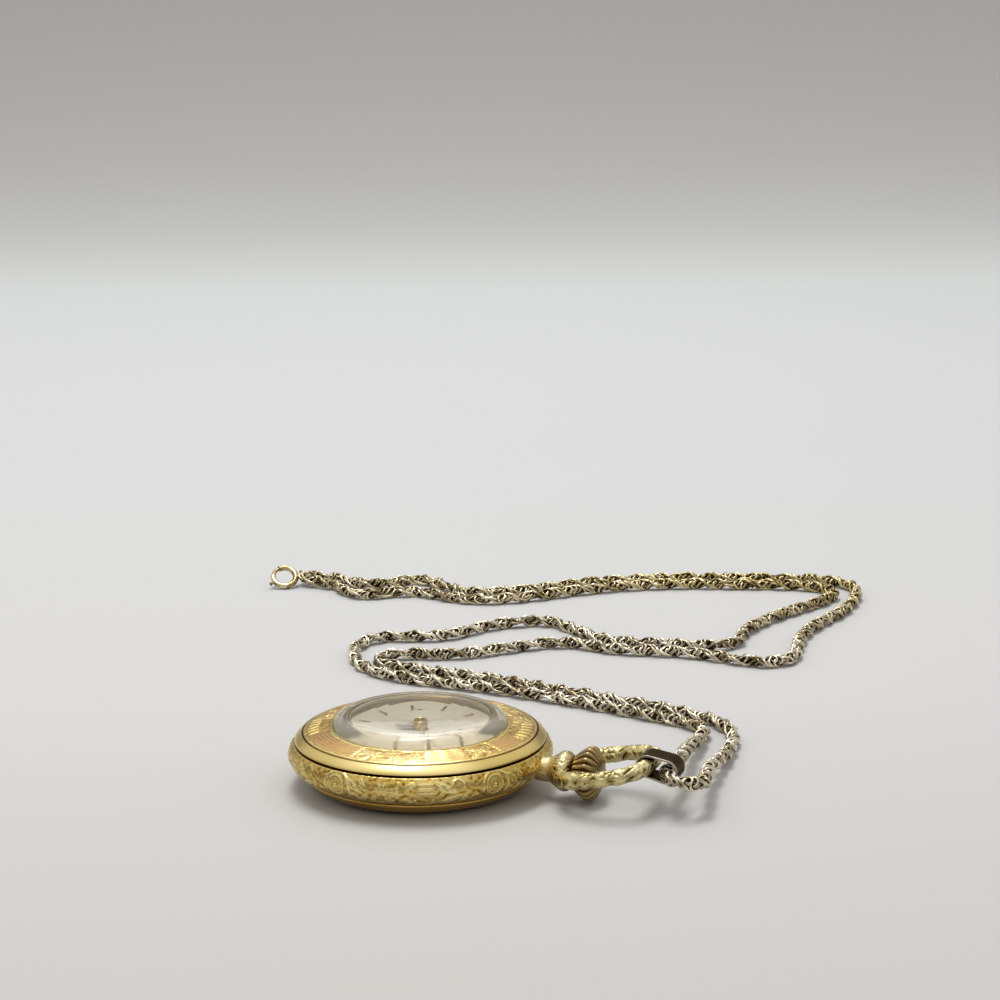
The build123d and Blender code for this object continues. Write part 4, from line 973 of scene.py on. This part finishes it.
bow = make_piece("bow_wire", bow_points, grid_quads(BOW_STEPS, BOW_SIDES), "bow", bow_gold, bow_height)
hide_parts("bow")

# %% [markdown]
# The crown's plate has worn to bronze brown: dark in the valleys, pale on the ribs that thumb and
# finger rub. The relief mark says which is which, and smut in patches of a millimetre or two dulls
# both. The same noise, as a slight bump, keeps the ribs from shining like new.

# %% Crown finish
def blotched(name, base, roughness, stops, blotch, size):
    """A metal whose ramp reads the relief mark, mixed with a blotch colour by a noise whose grain is a
    size in millimetres: material, tree, shader, noise."""
    made, tree, shader = new_finish(name, base, 1.0, roughness)
    where = node(tree, "ShaderNodeTexCoord")
    relief = node(tree, "ShaderNodeAttribute", attribute_name="relief")
    ramp = node(tree, "ShaderNodeValToRGB", links={"Fac": relief.outputs["Fac"]}, stops=stops)
    smut = node(
        tree, "ShaderNodeTexNoise", {"Scale": grain(size), "Detail": 3.0}, {"Vector": where.outputs["Object"]}
    )
    colour = node(
        tree, "ShaderNodeMix", {7: linear(blotch)}, {0: smut.outputs["Fac"], 6: ramp.outputs["Color"]},
        data_type="RGBA",
    )
    tree.links.new(colour.outputs[2], shader.inputs["Base Color"])
    return made, tree, shader, smut


crown_bronze, tree, shader, smut = blotched(
    "Worn bronze plate, crown", "#9A7440", 0.34,
    [(0.0, "#1C1208"), (0.6, "#7E6438"), (1.0, "#D8BE8A")], "#6E5630", 1.429,
)
crown_bump = node(
    tree, "ShaderNodeBump", {"Strength": 0.3, "Distance": 0.05 * MM}, {"Height": smut.outputs["Fac"]}
)
tree.links.new(crown_bump.outputs["Normal"], shader.inputs["Normal"])
print("crown:", crown_bronze.name)

# %% [markdown]
# The crown is an onion: ribs that swell to the middle and close in at both ends. The ribs are
# rounded, so a section is the radius less a folded cosine of the bearing, and the valleys are
# deepest where the crown is widest.

# %% Crown
CROWN_RIBS = 22
CROWN_STEPS = 480
CROWN_FOOT_Y = 19.75
CROWN_HEIGHT = 3.45
RIB_DEPTH = 0.42

crown_outline = evenly(
    eased([
        (0.5, 0.0), (2.0, 0.0), (2.6, 0.7), (3.15, 1.5), (3.4, 2.05), (3.0, 2.65), (1.8, 3.3),
        (0.8, CROWN_HEIGHT), (0.0, CROWN_HEIGHT),
    ], 3), 56
)
crown_turn = np.linspace(0, 2 * math.pi, CROWN_STEPS, endpoint=False)[None, :]
rib = np.abs(np.cos(CROWN_RIBS * crown_turn / 2))
depth = RIB_DEPTH * np.clip((crown_outline[:, :1] - 1.2) / 2.05, 0, 1)
rib_r = crown_outline[:, :1] - depth * (1 - rib) ** 1.4
on_axis = np.zeros((1, CROWN_STEPS))
crown_r = np.concatenate([on_axis, rib_r, on_axis])
crown_z = np.concatenate([[[0.0]], crown_outline[:, 1:], [[CROWN_HEIGHT]]])
crown_relief = np.concatenate([on_axis, np.broadcast_to(rib**0.5, rib_r.shape), on_axis + 1])
crown = make_piece(
    "crown_onion", along_pendant(spun(crown_r, crown_z + CROWN_FOOT_Y, CROWN_STEPS)),
    grid_quads(len(crown_r), CROWN_STEPS), "crown", crown_bronze, crown_relief,
)
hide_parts("crown")

# %% [markdown]
# Silver plate tarnishes to a dark grey brown, in blotches. The bail stores how near to an edge of its
# strip a point is, as relief, and the ramp paints the edges pale: a painted highlight along the strip's
# edges. So the crown's function serves it too, with broader blotches. A warm tint on the glancing
# reflections keeps its sides from turning white like new silver.

# %% Bail finish
# The ramp's pale top colour paints a highlight along the strip's edges; its dark end is tarnish.
bail_finish, _, shader, _ = blotched(
    "Tarnished silver plate with painted edge highlight, bail", "#463A30", 0.34,
    [(0.0, "#1C150F"), (0.5, "#4C4032"), (1.0, "#F4EAD6")], "#18110B", 1.667,
)
shader.inputs["Specular Tint"].default_value = linear("#EBDFCE")
print("bail:", bail_finish.name)

# %% [markdown]
# The bail is a strip folded to a loop: one end round the bow's far bar, the other a nose that holds
# the chain. The loop's outline is the hull of two circles. The strip's section, a flat bar with
# rounded edges, is carried round it.

# %% Bail
BAIL_SPAN = 2.35
BAIL_DROP = math.radians(12)
BAIL_STEPS = 120
STRIP_HALF_WIDTH = 1.5
STRIP_HALF_THICK = 0.15
STRIP_SIDES = 28
BAR_Y = BOW_PIVOT_Y + BOW_LENGTH * math.cos(BOW_TILT)
BAR_Z = PENDANT_Z + BOW_LENGTH * math.sin(BOW_TILT)


def loop_outline(eye_r, nose_r, count):
    """Round the eye, along the top, round the nose and back: the hull of two circles."""
    lean = math.asin((nose_r - eye_r) / BAIL_SPAN)
    eye_turn = np.linspace(math.pi / 2 + lean, 3 * math.pi / 2 - lean, 40)
    nose_turn = np.linspace(-math.pi / 2 - lean, math.pi / 2 + lean, 40)
    eye = np.stack([eye_r * np.cos(eye_turn), eye_r * np.sin(eye_turn)], axis=1)
    nose = np.stack([BAIL_SPAN + nose_r * np.cos(nose_turn), nose_r * np.sin(nose_turn)], axis=1)
    return evenly(np.concatenate([eye, nose, eye[:1]]), count + 1)[:-1]


middle_line = loop_outline(1.25, 1.35, BAIL_STEPS)
step = np.roll(middle_line, -1, axis=0) - np.roll(middle_line, 1, axis=0)
step /= np.linalg.norm(step, axis=1, keepdims=True)
off = np.stack([step[:, 1], -step[:, 0]], axis=1)
strip_turn = np.linspace(0, 2 * math.pi, STRIP_SIDES, endpoint=False)
strip_x = STRIP_HALF_WIDTH * np.sign(np.cos(strip_turn)) * np.abs(np.cos(strip_turn)) ** 0.18
strip_t = STRIP_HALF_THICK * np.sign(np.sin(strip_turn)) * np.abs(np.sin(strip_turn)) ** 0.5
bail_along = middle_line[:, None, 0] + off[:, None, 0] * strip_t[None, :]
bail_up = middle_line[:, None, 1] + off[:, None, 1] * strip_t[None, :]
bail_y = BAR_Y + bail_along * math.cos(BAIL_DROP) + bail_up * math.sin(BAIL_DROP)
bail_z = BAR_Z - bail_along * math.sin(BAIL_DROP) + bail_up * math.cos(BAIL_DROP)
# Painted highlight: the strip's edges get a high mark, which the ramp turns pale.
painted_edge_highlight = np.broadcast_to(np.abs(strip_x / STRIP_HALF_WIDTH) ** 6 * 0.8 + 0.15, bail_y.shape)
bail_points = np.stack([np.broadcast_to(strip_x, bail_y.shape), bail_y, bail_z], axis=-1)
bail_quads = grid_quads(BAIL_STEPS, STRIP_SIDES, round_rows=True)
bail = make_piece("bail_loop", bail_points, bail_quads, "bail", bail_finish, painted_edge_highlight)
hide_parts("bail")

# %% [markdown]
# The dial is a brass disc with a silver-cream lacquer, which has dulled unevenly. The CAD disc keeps
# its shape and takes the lacquer: a broad noise moves the cream a little, as age does. Most plain
# metals wander in colour like that, so one function makes them, given a ramp and a grain's size.

# %% Dial
def mottled(name, base, metallic, roughness, size, stops, detail=2.0):
    """A finish whose colour wanders over a ramp, by a noise whose grain is a size in millimetres."""
    made, tree, shader = new_finish(name, base, metallic, roughness)
    where = node(tree, "ShaderNodeTexCoord")
    wander = node(
        tree, "ShaderNodeTexNoise", {"Scale": grain(size), "Detail": detail},
        {"Vector": where.outputs["Object"]},
    )
    colour = node(tree, "ShaderNodeValToRGB", links={"Fac": wander.outputs["Fac"]}, stops=stops)
    tree.links.new(colour.outputs["Color"], shader.inputs["Base Color"])
    return made


dial_finish = mottled(
    "Silvered lacquer, dial", "#EDE5D6", 0.0, 0.45, 6.25, [(0.35, "#F0E8D8"), (0.65, "#FAF4E8")], 3.0
)
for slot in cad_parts["dial"].material_slots:
    slot.material = dial_finish
print("dial:", dial_finish.name)

# %% [markdown]
# The hour bars are raised, faceted and gilt, and the gilding has darkened. The one at 12 is longer and
# broader than the others. Each bar is a little hipped roof: its ridge is shorter than its foot. Flat
# shading keeps the facets, which is what makes a bar flash.

# %% Hour bars
bar_finish = mottled(
    "Gilt bar, darkened", "#6E5636", 1.0, 0.3, 2.0, [(0.35, "#6E5E48"), (0.65, "#BCA684")]
)

DIAL_TOP = 6.6
BAR_FOOT = 0.05
BAR_HEIGHT = 0.13
BARS_TO_R = 8.05


def turned_about_dial(points, degrees):
    """Points turned about the dial's middle: x cos - y sin, x sin + y cos, and z as it was."""
    angle = math.radians(degrees)
    x = points[..., 0] * math.cos(angle) - points[..., 1] * math.sin(angle)
    y = points[..., 0] * math.sin(angle) + points[..., 1] * math.cos(angle)
    return np.stack([x, y, points[..., 2]], axis=-1)


def hour_bar(inner, half_width, hour):
    """A hipped roof: its foot's middle, the foot, the eaves, the ridge and the ridge's middle."""
    middle = (inner + BARS_TO_R) / 2
    rows = [[(middle, 0, DIAL_TOP)] * 4]
    for inset, height in ((0.0, 0.0), (0.0, BAR_FOOT), (half_width * 0.85, BAR_HEIGHT)):
        near, far = inner + inset, BARS_TO_R - inset
        reach, z = half_width - inset + 0.01, DIAL_TOP + height
        rows.append([(near, -reach, z), (far, -reach, z), (far, reach, z), (near, reach, z)])
    rows.append([(middle, 0, DIAL_TOP + BAR_HEIGHT)] * 4)
    return turned_about_dial(np.array(rows), 90 - 30 * hour), grid_quads(len(rows), 4)


bars = [hour_bar(4.7, 0.27, 0)] + [hour_bar(6.6, 0.16, hour) for hour in range(1, 12)]
hour_bars = make_piece("hour_bar_set", *joined(bars), "watch", bar_finish, smooth=False)
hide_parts("hour_bars")

# %% [markdown]
# The hands are stamped leaves with a crease along the middle. Each sits on its pipe with a ring for a
# boss, and the hour hand's ring is the broader one below. A hand's section is a flat lozenge that
# narrows to the tip, so its crease catches the light. The mark named relief is 1 on the boss alone.

# %% Hand shape
BLADE_ROWS = 40
BOSS_STEPS = 40
TIP_HALF_WIDTH = 0.03


def leaf_hand(start, length, half_width, widest, bore_r, boss_r, low, top, bearing):
    """A lozenge carried outwards, its width read between four places; the boss is a turned ring."""
    along = np.linspace(start, length, BLADE_ROWS)
    reach = [-1.0, 0, length * widest, length]
    width = np.interp(along, reach, [0.11, 0.2, half_width, TIP_HALF_WIDTH])
    section = np.array([(-1, 0.0), (0, 0.0), (1, 0.0), (1, 0.35), (0, 1.0), (-1, 0.35)])
    y = width[:, None] * section[None, :, 0]
    z = low + (top - low) * section[None, :, 1] + np.zeros((BLADE_ROWS, 1))
    x = np.broadcast_to(along[:, None], y.shape)
    blade = np.stack([x, y, z], axis=-1)
    root, tip = [np.broadcast_to(row.mean(axis=0), (1, *row.shape)) for row in (blade[0], blade[-1])]
    blade = np.concatenate([root, blade, tip])
    ridge_r = (bore_r + boss_r) / 2
    button = eased([
        (bore_r, low), (boss_r, low), (boss_r, top + 0.06), (ridge_r, top + 0.11), (bore_r, top + 0.06),
    ], 1)
    boss = spun(button[:, :1], button[:, 1:], BOSS_STEPS)
    boss_quads = grid_quads(len(button), BOSS_STEPS, round_rows=True)
    points, quads = joined([(blade, grid_quads(len(blade), len(section))), (boss, boss_quads)])
    gilt = np.arange(len(points)) >= len(blade) * len(section)
    return turned_about_dial(points, bearing), quads, gilt


# %% [markdown]
# The minute hand is still gold. The hour hand is steel that has gone a dark brownish grey, and its
# boss is gilt: the relief mark mixes gold over the steel there. Both have a grain of about 1 mm.
# The time is ten past five, and each hand's bearing is worked out from it.

# %% Hands
HOUR_NOW = 5 + 10 / 60
MINUTE_NOW = 10.5

hand_gold = mottled(
    "Polished gilt, minute hand", "#D9AE4E", 1.0, 0.2, 1.111, [(0.3, "#D0A044"), (0.6, "#FFE090")]
)
hand_dark = mottled(
    "Oxidised steel, hour hand", "#5A4E48", 1.0, 0.35, 1.429, [(0.3, "#6A5650"), (0.7, "#A48E86")]
)
tree = hand_dark.node_tree
base_colour = tree.nodes["Principled BSDF"].inputs["Base Color"]
steel_colour = base_colour.links[0].from_socket
gilded = node(tree, "ShaderNodeAttribute", attribute_name="relief")
boss_colour = node(
    tree, "ShaderNodeMix", {7: linear("#E0B860")}, {0: gilded.outputs["Fac"], 6: steel_colour},
    data_type="RGBA",
)
tree.links.new(boss_colour.outputs[2], base_colour)

points, quads, gilt = leaf_hand(
    start=-1.0, length=6.2, half_width=0.24, widest=0.42, bore_r=0.6, boss_r=0.8, low=7.34, top=7.42,
    bearing=90 - 6 * MINUTE_NOW,
)
minute_hand = make_piece("minute_hand_leaf", points, quads, "minute", hand_gold, gilt, smooth=False)
points, quads, gilt = leaf_hand(
    start=0.65, length=3.0, half_width=0.8, widest=0.32, bore_r=0.64, boss_r=0.96, low=7.06, top=7.14,
    bearing=90 - 30 * HOUR_NOW,
)
hour_hand = make_piece("hour_hand_leaf", points, quads, "hour", hand_dark, gilt, smooth=False)
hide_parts("minute_hand")
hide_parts("hour_hand")

# %% [markdown]
# The clasp is a spring ring: a hollow ring with a gap, a curved bolt that a small knob draws back,
# an eyelet and a jump ring that holds both chain ends. It leans on the table at 40 degrees.
# Ring, bolt and jump ring are tubes along arcs, made in the ring's own plane and then placed.

# %% Clasp shapes
RING_R = 1.75
RING_TUBE_R = 0.45
RING_LEAN = math.radians(40)
RING_TURN = math.radians(30)
RING_CENTRE = (-81.9, -57.0)
EYELET_Y = 2.82


def place_clasp(points, half_turn=True):
    """Half a turn in the ring's plane, the lean about Y, the turn about Z, then to its place."""
    x, y, z = points[..., 0], points[..., 1], points[..., 2]
    if half_turn:
        x, y = -x, -y
    leaned_x = x * math.cos(RING_LEAN) + z * math.sin(RING_LEAN)
    leaned_z = z * math.cos(RING_LEAN) - x * math.sin(RING_LEAN)
    placed_x = leaned_x * math.cos(RING_TURN) - y * math.sin(RING_TURN) + RING_CENTRE[0]
    placed_y = leaned_x * math.sin(RING_TURN) + y * math.cos(RING_TURN) + RING_CENTRE[1]
    lift = RING_TUBE_R + RING_R * math.sin(RING_LEAN)
    return np.stack([placed_x, placed_y, leaned_z + lift], axis=-1)


def arc_tube(hub, radius, start, stop, count, sides=16):
    """Centre + radius (cos w out + sin w z) along an arc in XY; its ends close on the arc's line,
    or on each other when it runs all the way round."""
    whole = abs(stop - start) >= 360
    turn = np.radians(np.linspace(start, stop, count, endpoint=not whole))
    line = np.stack([hub * np.cos(turn), hub * np.sin(turn), 0 * turn], axis=1)
    out = line / hub
    wire = np.linspace(0, 2 * math.pi, sides, endpoint=False)[None, :, None]
    spoke = np.cos(wire) * out[:, None, :] + np.sin(wire) * np.array([0, 0, 1.0])
    points = line[:, None, :] + radius * spoke
    if not whole:
        first = np.broadcast_to(line[:1, None, :], (1, sides, 3))
        last = np.broadcast_to(line[-1:, None, :], (1, sides, 3))
        points = np.concatenate([first, points, last])
    return points, grid_quads(len(points), sides, round_rows=whole)


def knob_on(radius_from, radius_to, degrees, outline):
    """A turned button whose axis points away from the ring's centre at a bearing."""
    share = np.array(outline)
    skin = spun(share[:, :1], radius_from + (radius_to - radius_from) * share[:, 1:], 20)
    angle = math.radians(degrees)
    out, across, above = skin[..., 2], skin[..., 1], skin[..., 0]
    x = out * math.cos(angle) - across * math.sin(angle)
    y = out * math.sin(angle) + across * math.cos(angle)
    return np.stack([x, y, above], axis=-1), grid_quads(len(share), 20)


print("clasp ring across, mm:", 2 * (RING_R + RING_TUBE_R))

# %% [markdown]
# Gold fill wears unevenly: bright where fingers rub it, brown in between. A noise of about 2 mm, as
# long as the ring's own wear patches, places both. The knob's outline is a list of radius and share.

# %% Clasp
EYELET_R = 0.5
JUMP_R = 0.85
KNOB_OUTLINE = [(0.0, 0.0), (0.12, 0.0), (0.12, 0.4), (0.3, 0.5), (0.33, 0.8), (0.2, 1.0), (0.0, 1.0)]

clasp_gold = mottled(
    "Gold fill, clasp", "#C9AE6A", 1.0, 0.26, 2.0,
    [(0.38, "#5A4A2C"), (0.5, "#B49E70"), (0.62, "#E8DCB8")],
)

eyelet_ring, eyelet_quads = arc_tube(EYELET_R, 0.19, 0, 360, 28)
eyelet_ring = eyelet_ring + np.array([0, -EYELET_Y, 0])
ring_parts = [arc_tube(RING_R, RING_TUBE_R, 80, 385, 90), (eyelet_ring, eyelet_quads)]
clasp_points, clasp_quads = joined(ring_parts)
clasp = make_piece("clasp_ring", place_clasp(clasp_points), clasp_quads, "watch", clasp_gold)
bolt_parts = [arc_tube(RING_R, 0.28, 19, 150, 50), knob_on(RING_R + 0.35, RING_R + 0.94, 118, KNOB_OUTLINE)]
bolt_points, bolt_quads = joined(bolt_parts)
bolt = make_piece("clasp_bolt_and_knob", place_clasp(bolt_points), bolt_quads, "trigger", clasp_gold)
jump_points, jump_quads = arc_tube(JUMP_R, 0.17, 0, 360, 32, 10)
upright = np.stack([jump_points[..., 2], jump_points[..., 1], -jump_points[..., 0]], axis=-1)
upright = upright + np.array([0, EYELET_Y + JUMP_R, 0])
jump_ring = make_piece("jump_ring_wire", place_clasp(upright, False), jump_quads, "watch", clasp_gold)
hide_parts("clasp_body")
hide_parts("clasp_bolt")
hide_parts("jump_ring")

# %% [markdown]
# The two strands' lengths, in whole millimetres.

print("cords, mm:", round(line_length(near_line)), round(line_length(far_line)))

# %% [markdown]
# The movement hides under the dial. Its CAD parts keep their shapes, and each takes the finish that
# the real one has: gilt or nickelled brass, polished steel, blued spring, synthetic ruby. Each
# colour wanders a little, with a grain given in millimetres.

# %% Movement finishes
def grained(name, dark, light, metallic, roughness, size):
    """A metal or stone whose colour wanders between a dark and a light value."""
    return mottled(name, light, metallic, roughness, size, [(0.35, dark), (0.65, light)], 3.0)


MOVEMENT = {
    grained("Gilt brass, wheels", "#B08A3C", "#D8B460", 1.0, 0.25, 1.111): [
        "centre_wheel", "third_wheel", "fourth_wheel", "barrel", "hour_wheel", "minute_wheel",
        "balance_wheel",
    ],
    grained("Nickelled brass, plates", "#A8A49A", "#CFCBC0", 1.0, 0.34, 2.0): [
        "main_plate", "barrel_bridge", "train_bridge", "balance_cock", "pallet_cock", "movement_ring",
    ],
    grained("Polished steel", "#8E8E90", "#C4C4C6", 1.0, 0.2, 1.111): [
        "escape_wheel", "pallet_fork", "cannon_pinion", "setting_wheel", "winding_pinion", "sliding_clutch",
        "crown_wheel", "ratchet_wheel", "ratchet_screw", "crown_wheel_screw", "click", "click_screw",
        "setting_lever", "yoke", "bridge_screws", "barrel_arbor", "winding_stem",
    ],
    grained("Blued spring steel", "#3A4A6C", "#7080A0", 1.0, 0.28, 1.111): [
        "mainspring", "hairspring", "clasp_spring",
    ],
    grained("Synthetic ruby", "#8C1030", "#C02048", 0.0, 0.08, 1.429): ["jewels", "pallet_stones"],
}
for finish, names in MOVEMENT.items():
    for name in names:
        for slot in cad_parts[name].material_slots:
            slot.material = finish
print("movement finishes:", len(MOVEMENT))

# %% [markdown]
# The table is a pale grey sheet that runs flat far behind the watch and then curves up, as paper in
# a photo tent does. The grid runs along the view, so one number, the distance behind the watch, gives
# each row its place. The sheet lies a little under the watch, so that no two faces share a plane.

# %% Table
FLAT_FROM = -420
FLAT_TO = 560
SWEEP_R = 620
SWEEP_TURN = math.radians(80)
TABLE_HALF_WIDTH = 900
TABLE_DROP = 0.05

flat = np.linspace(FLAT_FROM, FLAT_TO, 40)
curl = np.linspace(0, SWEEP_TURN, 60)[1:]
sweep_u = np.concatenate([flat, FLAT_TO + SWEEP_R * np.sin(curl)])
sweep_z = np.concatenate([0 * flat, SWEEP_R * (1 - np.cos(curl))]) - TABLE_DROP
across_table = np.linspace(-TABLE_HALF_WIDTH, TABLE_HALF_WIDTH, 40)
grid_u, grid_w = np.meshgrid(sweep_u, across_table, indexing="ij")
table_points = grid_u[..., None] * away + grid_w[..., None] * level_right
table_points[..., 2] = sweep_z[:, None]
table_quads = grid_quads(*grid_u.shape, round_columns=False)
table_mesh = bpy.data.meshes.new("Table")
table_mesh.from_pydata((table_points.reshape(-1, 3) * MM).tolist(), [], table_quads.tolist())
table_mesh.polygons.foreach_set("use_smooth", np.ones(len(table_mesh.polygons), dtype=bool))
table = bpy.data.objects.new("Table", table_mesh)
bpy.context.scene.collection.objects.link(table)
print("table faces:", len(table_mesh.polygons))

# %% [markdown]
# Matt paper has no pattern of its own, so its colour only has to fall off as the light does in a
# tent: a little darker in front, lightest behind the watch, and darker again up the curve. A mapping
# turns the coordinates to the view's bearing, and the distance along it goes through one ramp.

# %% Paper
PAPER_FROM = -400
PAPER_TO = 1200

paper, tree, shader = new_finish("Pale grey paper", "#D6D5D4", 0.0, 0.75)
where = node(tree, "ShaderNodeTexCoord")
turned_paper = node(
    tree, "ShaderNodeMapping", {"Rotation": (0, 0, math.pi - BEARING)}, {"Vector": where.outputs["Object"]}
)
depth_axis = node(tree, "ShaderNodeSeparateXYZ", links={"Vector": turned_paper.outputs["Vector"]})
depth_share = node(
    tree, "ShaderNodeMapRange", {"From Min": PAPER_FROM * MM, "From Max": PAPER_TO * MM},
    {"Value": depth_axis.outputs["X"]},
)
paper_colour = node(
    tree, "ShaderNodeValToRGB", links={"Fac": depth_share.outputs["Result"]},
    stops=[
        (0.15, "#B5B2AF"), (0.212, "#BBB8B5"), (0.271, "#C1C0BE"), (0.377, "#C1C2C2"),
        (0.52, "#C9CBCA"), (0.68, "#B1B0AD"), (1.0, "#94928F"),
    ],
)
tree.links.new(paper_colour.outputs["Color"], shader.inputs["Base Color"])
table_mesh.materials.append(paper)

# %% [markdown]
# A tent of soft light: the sky is bright overhead and greyer towards the horizon, so that the gold
# has something dark to mirror low down. Beyond the watch it is brighter than behind the camera: the
# ramp reads the height of a direction, lifted by how far that direction points away from the camera.

# %% Sky
world = bpy.data.worlds.new("Tent")
bpy.context.scene.world = world
world.use_nodes = True
tree = world.node_tree
sky = tree.nodes["Background"]
direction = node(tree, "ShaderNodeTexCoord")
split = node(tree, "ShaderNodeSeparateXYZ", links={"Vector": direction.outputs["Generated"]})
beyond = node(
    tree, "ShaderNodeVectorMath", {1: away.tolist()},
    {0: direction.outputs["Generated"]}, operation="DOT_PRODUCT",
)
lift = node(tree, "ShaderNodeMapRange", {"To Max": 0.45}, {"Value": beyond.outputs["Value"]})
up = node(tree, "ShaderNodeMath", links={0: split.outputs["Z"], 1: lift.outputs["Result"]}, operation="ADD")
sky_ramp = node(
    tree, "ShaderNodeValToRGB", links={"Fac": up.outputs["Value"]},
    stops=[(0.0, "#4A4844"), (0.16, "#86847F"), (0.42, "#E4E4E2"), (1.0, "#FFFFFF")],
)
tree.links.new(sky_ramp.outputs["Color"], sky.inputs["Color"])
sky.inputs["Strength"].default_value = 0.92
print("sky strength:", round(sky.inputs["Strength"].default_value, 2))

# %% [markdown]
# Two lamps. A broad one hangs above and a little behind, and makes the soft shadow. A narrow strip
# stands beyond the watch, tipped towards it, and draws a thin bright line on the glass and the bevel.

# %% Lamps
STRIP_AWAY = 740
STRIP_UP = 520


def lamp(name, width, depth, watts, place, turn=(0, 0, 0)):
    """A rectangle of light of a size in millimetres, shining along its own -Z."""
    made = bpy.data.lights.new(name, "AREA")
    made.shape = "RECTANGLE"
    made.size = width * MM
    made.size_y = depth * MM
    made.energy = watts
    holder = bpy.data.objects.new(name, made)
    bpy.context.scene.collection.objects.link(holder)
    holder.location = np.array(place) * MM
    holder.rotation_euler = turn
    print(f"{name}: {watts} W")


lamp("Overhead", 450, 160, 2.2, (-120, -100, 600))
strip_tip = math.atan2(STRIP_AWAY, STRIP_UP)
lamp("Strip", 260, 20, 0.14, STRIP_AWAY * away + (0, 0, STRIP_UP), (strip_tip, 0, BEARING - math.pi / 2))

# %% [markdown]
# The view transform stays plain, so that a colour renders as it is written.

# %% Colour management
bpy.context.scene.view_settings.view_transform = "Standard"
